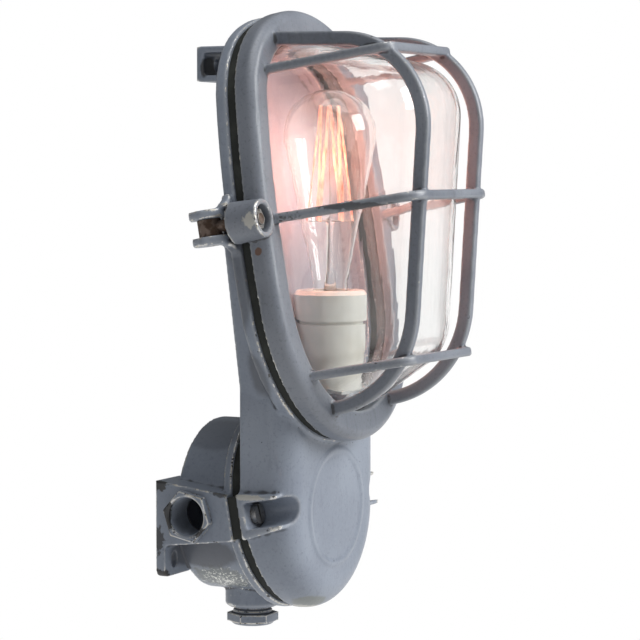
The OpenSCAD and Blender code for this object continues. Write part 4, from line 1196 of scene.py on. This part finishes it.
@dataclass
class FilamentCage:
    """The zigzag of hot coiled wire in the bulb, in mm."""

    axis_y: float = -96.0
    low: float = 202.0
    top: float = 282.0
    low_radius: float = 16.0
    top_radius: float = 7.0
    offset: float = 0.5
    strands: int = 12
    turns: float = 90.0
    coil: float = 0.55
    wire: float = 0.22

    def build(self, recipe: NodeRecipe, finish: bpy.types.Material) -> bpy.types.Object:
        """Makes the coiled strands and lets them stand for their node.

        Args:
            recipe: The coil tree.
            finish: The glowing wire.

        Returns:
            The piece.
        """
        part_low = math.atan2(self.offset, self.low_radius)
        part_top = math.atan2(self.offset, self.top_radius)
        starts, aims = [], []
        for i in range(self.strands):
            a = 2 * math.pi * i / self.strands
            b = 2 * math.pi * (i + 1) / self.strands
            low, top = (a + part_low, b - part_top) if i % 2 == 0 else (b - part_low, a + part_top)
            foot = Vector((
                self.low_radius * math.cos(low),
                self.axis_y + self.low_radius * math.sin(low),
                self.low,
            )) * MM
            tip = Vector((
                self.top_radius * math.cos(top),
                self.axis_y + self.top_radius * math.sin(top),
                self.top,
            )) * MM
            starts.append(foot)
            aims.append(tip - foot)
        base = bpy.data.meshes.new("strand_starts")
        base.from_pydata(starts, [], [])
        layer = base.attributes.new("aim", "FLOAT_VECTOR", "POINT")
        layer.data.foreach_set("vector", [c for aim in aims for c in aim])
        mesh = recipe.run(base, "hot_filament", {
            "Turns": self.turns,
            "Coil Radius": self.coil * MM,
            "Length": aims[0].length,
            "Wire Radius": self.wire * MM,
            "Material": finish,
        })
        smooth(mesh)
        piece = put(mesh, "hot_filament")
        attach(piece, Body.LAMP.value)
        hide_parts("filament")
        LOG.info("hot_filament: %d faces", len(mesh.polygons))
        return piece


@dataclass
class Dressing:
    """Which finish each remaining node of the solids takes."""

    finishes: dict[str, tuple[str, ...]] = field(default_factory=lambda: {
        "rubber": ("box_gasket", "gland_seal", "glass_gasket"),
        "steel": (
            "gland_washer", "terminal_block_screws", "cover_screw_left", "cover_screw_right",
            "bracket_screws", "holder_screws", "bulb_contact", "filament_supports", "hinge_pin",
            "hinge_washer", "hinge_nut", "closing_screw", "closing_washer",
        ),
        "bracket": ("holder_bracket",),
        "rusty": ("hinge_eyebolt",),
        "brass": (
            "terminal_screws", "earth_screw", "earth_washer", "lampholder_shell", "centre_contact",
            "bulb_cap",
        ),
        "porcelain": ("terminal_block", "lampholder_base", "lampholder_collar"),
        "wire": ("internal_wires",),
        "bulb": ("bulb_glass", "bulb_stem"),
        "filament": ("filament",),
    })

    def dress(self, materials: dict[str, bpy.types.Material]) -> None:
        """Puts the finishes on the nodes.

        Args:
            materials: The materials by finish name.
        """
        for finish, nodes in self.finishes.items():
            for name in nodes:
                paint(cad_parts[name].data, materials[finish])
            LOG.info("%s on %d nodes", finish, len(nodes))


@dataclass(frozen=True)
class SoftLamp:
    """A square area lamp, with its size in metres and its power in watts."""

    name: str
    place: tuple[float, float, float]
    size: float
    power: float
    colour: Colour

    def build(self, aim: Vector) -> None:
        """Adds the lamp.

        Args:
            aim: What it points at.
        """
        data = bpy.data.lights.new(self.name, "AREA")
        data.shape = "SQUARE"
        data.size = self.size
        data.energy = self.power
        data.color = self.colour
        obj = bpy.data.objects.new(self.name, data)
        obj.location = self.place
        turn = (aim - Vector(self.place)).to_track_quat("-Z", "Y")
        obj.rotation_euler = turn.to_euler()
        bpy.context.scene.collection.objects.link(obj)


@dataclass
class Studio:
    """Floor, lights, world and camera."""

    camera_place: tuple[float, float, float] = (-1.5341, -0.8748, 0.2374)
    azimuth: float = 62.85
    down: float = 3.48
    lens: float = 138.69
    floor_z: float = -0.55
    floor_half: float = 12.0
    floor_colour: Colour = (0.82, 0.82, 0.82)
    world_light: float = 0.15
    aim: tuple[float, float, float] = (0.0, -0.08, 0.14)
    lamps: tuple[SoftLamp, ...] = (
        SoftLamp("key_front", (0.9, -2.2, 1.3), 1.5, 66.0, WHITE),
        SoftLamp("top_soft", (-0.2, -0.6, 2.2), 1.6, 24.0, (0.98, 0.99, 1.0)),
        SoftLamp("left_fill", (-1.9, 0.0, 0.35), 1.0, 2.6, (0.97, 0.98, 1.0)),
    )
    bulb_place: tuple[float, float, float] = (0.0, -0.096, 0.242)
    bulb_power: float = 0.9
    bulb_colour: Colour = (1.0, 0.36, 0.24)
    bulb_radius: float = 0.012

    def floor(self) -> None:
        """Makes the pale floor, which the camera sees as white."""
        mesh = bpy.data.meshes.new("studio_floor")
        half = self.floor_half
        corners = ((-half, -half), (half, -half), (half, half), (-half, half))
        mesh.from_pydata([(x, y, self.floor_z) for x, y in corners], [], [(0, 1, 2, 3)])
        g = Graph("pale_floor")
        pale = g.node("ShaderNodeBsdfDiffuse", None, {"Color": self.floor_colour})
        white = g.node("ShaderNodeEmission", None, {"Color": WHITE, "Strength": 1.0})
        seen = g.ray("Is Camera Ray").max(g.ray("Is Glossy Ray")).max(g.ray("Is Transmission Ray"))
        mesh.materials.append(g.finish(g.blend(seen, pale, white)))
        put(mesh, "studio_floor")

    def world(self) -> None:
        """Makes the white surroundings: full strength where they are seen, less as light."""
        world = bpy.data.worlds.new("studio_world")
        bpy.context.scene.world = world
        world.use_nodes = True
        tree = world.node_tree
        tree.nodes.clear()
        rays = add_node(tree, "ShaderNodeLightPath").outputs
        seen = add_node(
            tree, "ShaderNodeMath", {"operation": "MAXIMUM"},
            {0: rays["Is Camera Ray"], 1: rays["Is Transmission Ray"]},
        )
        light = add_node(
            tree, "ShaderNodeBackground", None, {"Color": WHITE, "Strength": self.world_light}
        )
        white = add_node(tree, "ShaderNodeBackground", None, {"Color": WHITE})
        both = add_node(
            tree, "ShaderNodeMixShader", None,
            {0: seen.outputs[0], 1: light.outputs[0], 2: white.outputs[0]},
        )
        add_node(tree, "ShaderNodeOutputWorld", None, {"Surface": both.outputs[0]})

    def lights(self) -> None:
        """Places the soft studio lamps and the warm light of the bulb."""
        for lamp in self.lamps:
            lamp.build(Vector(self.aim))
        data = bpy.data.lights.new("bulb_warmth", "POINT")
        data.energy = self.bulb_power
        data.color = self.bulb_colour
        data.shadow_soft_size = self.bulb_radius
        obj = bpy.data.objects.new("bulb_warmth", data)
        obj.location = self.bulb_place
        obj.visible_transmission = False
        obj.visible_glossy = False
        bpy.context.scene.collection.objects.link(obj)

    def camera(self) -> None:
        """Makes the camera at the photograph's viewing angle."""
        data = bpy.data.cameras.new("view_camera")
        data.lens = self.lens
        data.sensor_width = 36.0
        data.clip_start, data.clip_end = 0.05, 60.0
        obj = bpy.data.objects.new("view_camera", data)
        a, e = math.radians(self.azimuth), math.radians(self.down)
        look = Vector((math.sin(a) * math.cos(e), math.cos(a) * math.cos(e), -math.sin(e)))
        obj.location = Vector(self.camera_place)
        obj.rotation_euler = look.to_track_quat("-Z", "Y").to_euler()
        bpy.context.scene.collection.objects.link(obj)
        bpy.context.scene.camera = obj

    def build(self) -> None:
        """Builds the studio."""
        self.floor()
        self.world()
        self.lights()
        self.camera()
        bpy.context.scene.view_settings.view_transform = "Standard"


def main() -> None:
    """Builds the looks in order."""
    paint_body = EnamelPaint(name="enamel_body", marks=BODY_MARKS).build()
    paint_box = EnamelPaint(
        name="enamel_box", surface=Surface.HEAVY, hold=0.52, marks=BOX_MARKS
    ).build()
    paint_guard = EnamelPaint(
        name="enamel_guard", base=(0.165, 0.183, 0.218), pale=(0.235, 0.255, 0.295),
        deep=(0.082, 0.088, 0.102), edge=(0.36, 0.375, 0.395), hold=0.68, marks=GUARD_MARKS,
    ).build()
    materials = {
        "rubber": BlackRubber().build(),
        "steel": WornMetal(
            "dull_steel", (0.42, 0.41, 0.39), (0.10, 0.085, 0.07), 0.45, 0.34
        ).build(),
        "bracket": WornMetal(
            "zinc_sheet", (0.55, 0.55, 0.53), (0.30, 0.29, 0.26), 0.35, 0.30
        ).build(),
        "rusty": WornMetal(
            "brown_steel", (0.17, 0.125, 0.10), (0.085, 0.050, 0.032), 0.75, 0.45, 0.6
        ).build(),
        "brass": WornMetal(
            "dull_brass", (0.72, 0.53, 0.25), (0.30, 0.20, 0.09), 0.4, 0.28
        ).build(),
        "porcelain": Porcelain().build(),
        "wire": WireCover().build(),
        "bulb": ClearGlass("bulb_glass_clear", film=0.015, ripple=0.05).build(),
        "filament": GlowingWire().build(),
    }
    dome_glass = ClearGlass("dome_glass_clear", film=0.07, ripple=0.25).build()
    Dressing().dress(materials)
    for casting, finish in (
        (Casting("lamp_body", Body.LAMP, 1.25 * MM), paint_body),
        (Casting("junction_box", Body.LAMP, 1.0 * MM), paint_box),
        (Casting("conduit_bush", Body.LAMP, 0.45 * MM, faces=90000), paint_box),
        (Casting("gland_nut", Body.LAMP, 0.5 * MM, faces=90000), paint_box),
        (Casting("guard_frame", Body.GUARD, 0.95 * MM), paint_guard),
    ):
        casting.build(finish)
    GlassDome().build(dome_glass)
    FilamentCage().build(coil_recipe(), materials["filament"])
    ridges = ridge_recipe()
    right, above = Vector((1.0, 0.0, 0.0)), Vector((0.0, 0.0, 1.0))
    front = head_point(0, 0, 1) - head_point(0, 0, 0)
    bush, cap = Vector((-0.080, -0.027, 0.0)), Vector((0.0, -0.096, 0.130))
    hinge, closing = head_point(-105.0, 4.0, 19.5), head_point(105.0, 4.0, -12.0)
    steel, brass = materials["steel"], materials["brass"]
    for start, along, finish, values in (
        (bush, right, paint_box, ("bush_thread", Body.LAMP, "grey_paint", 13.3, 1.5, 15, 0.45)),
        (cap, above, brass, ("cap_thread", Body.LAMP, "brass", 12.7, 3.6, 5, 0.8)),
        (hinge, front, steel, ("hinge_bolt_thread", Body.GUARD, "steel", 3.85, 0.6, 4, 0.25)),
        (closing, front, steel, ("closing_screw_thread", Body.GUARD, "steel", 3.2, 1.25, 12, 0.45)),
    ):
        Thread(*values, start=start, along=along).build(ridges, finish)
    Studio().build()


if __name__ == "__main__":
    main()
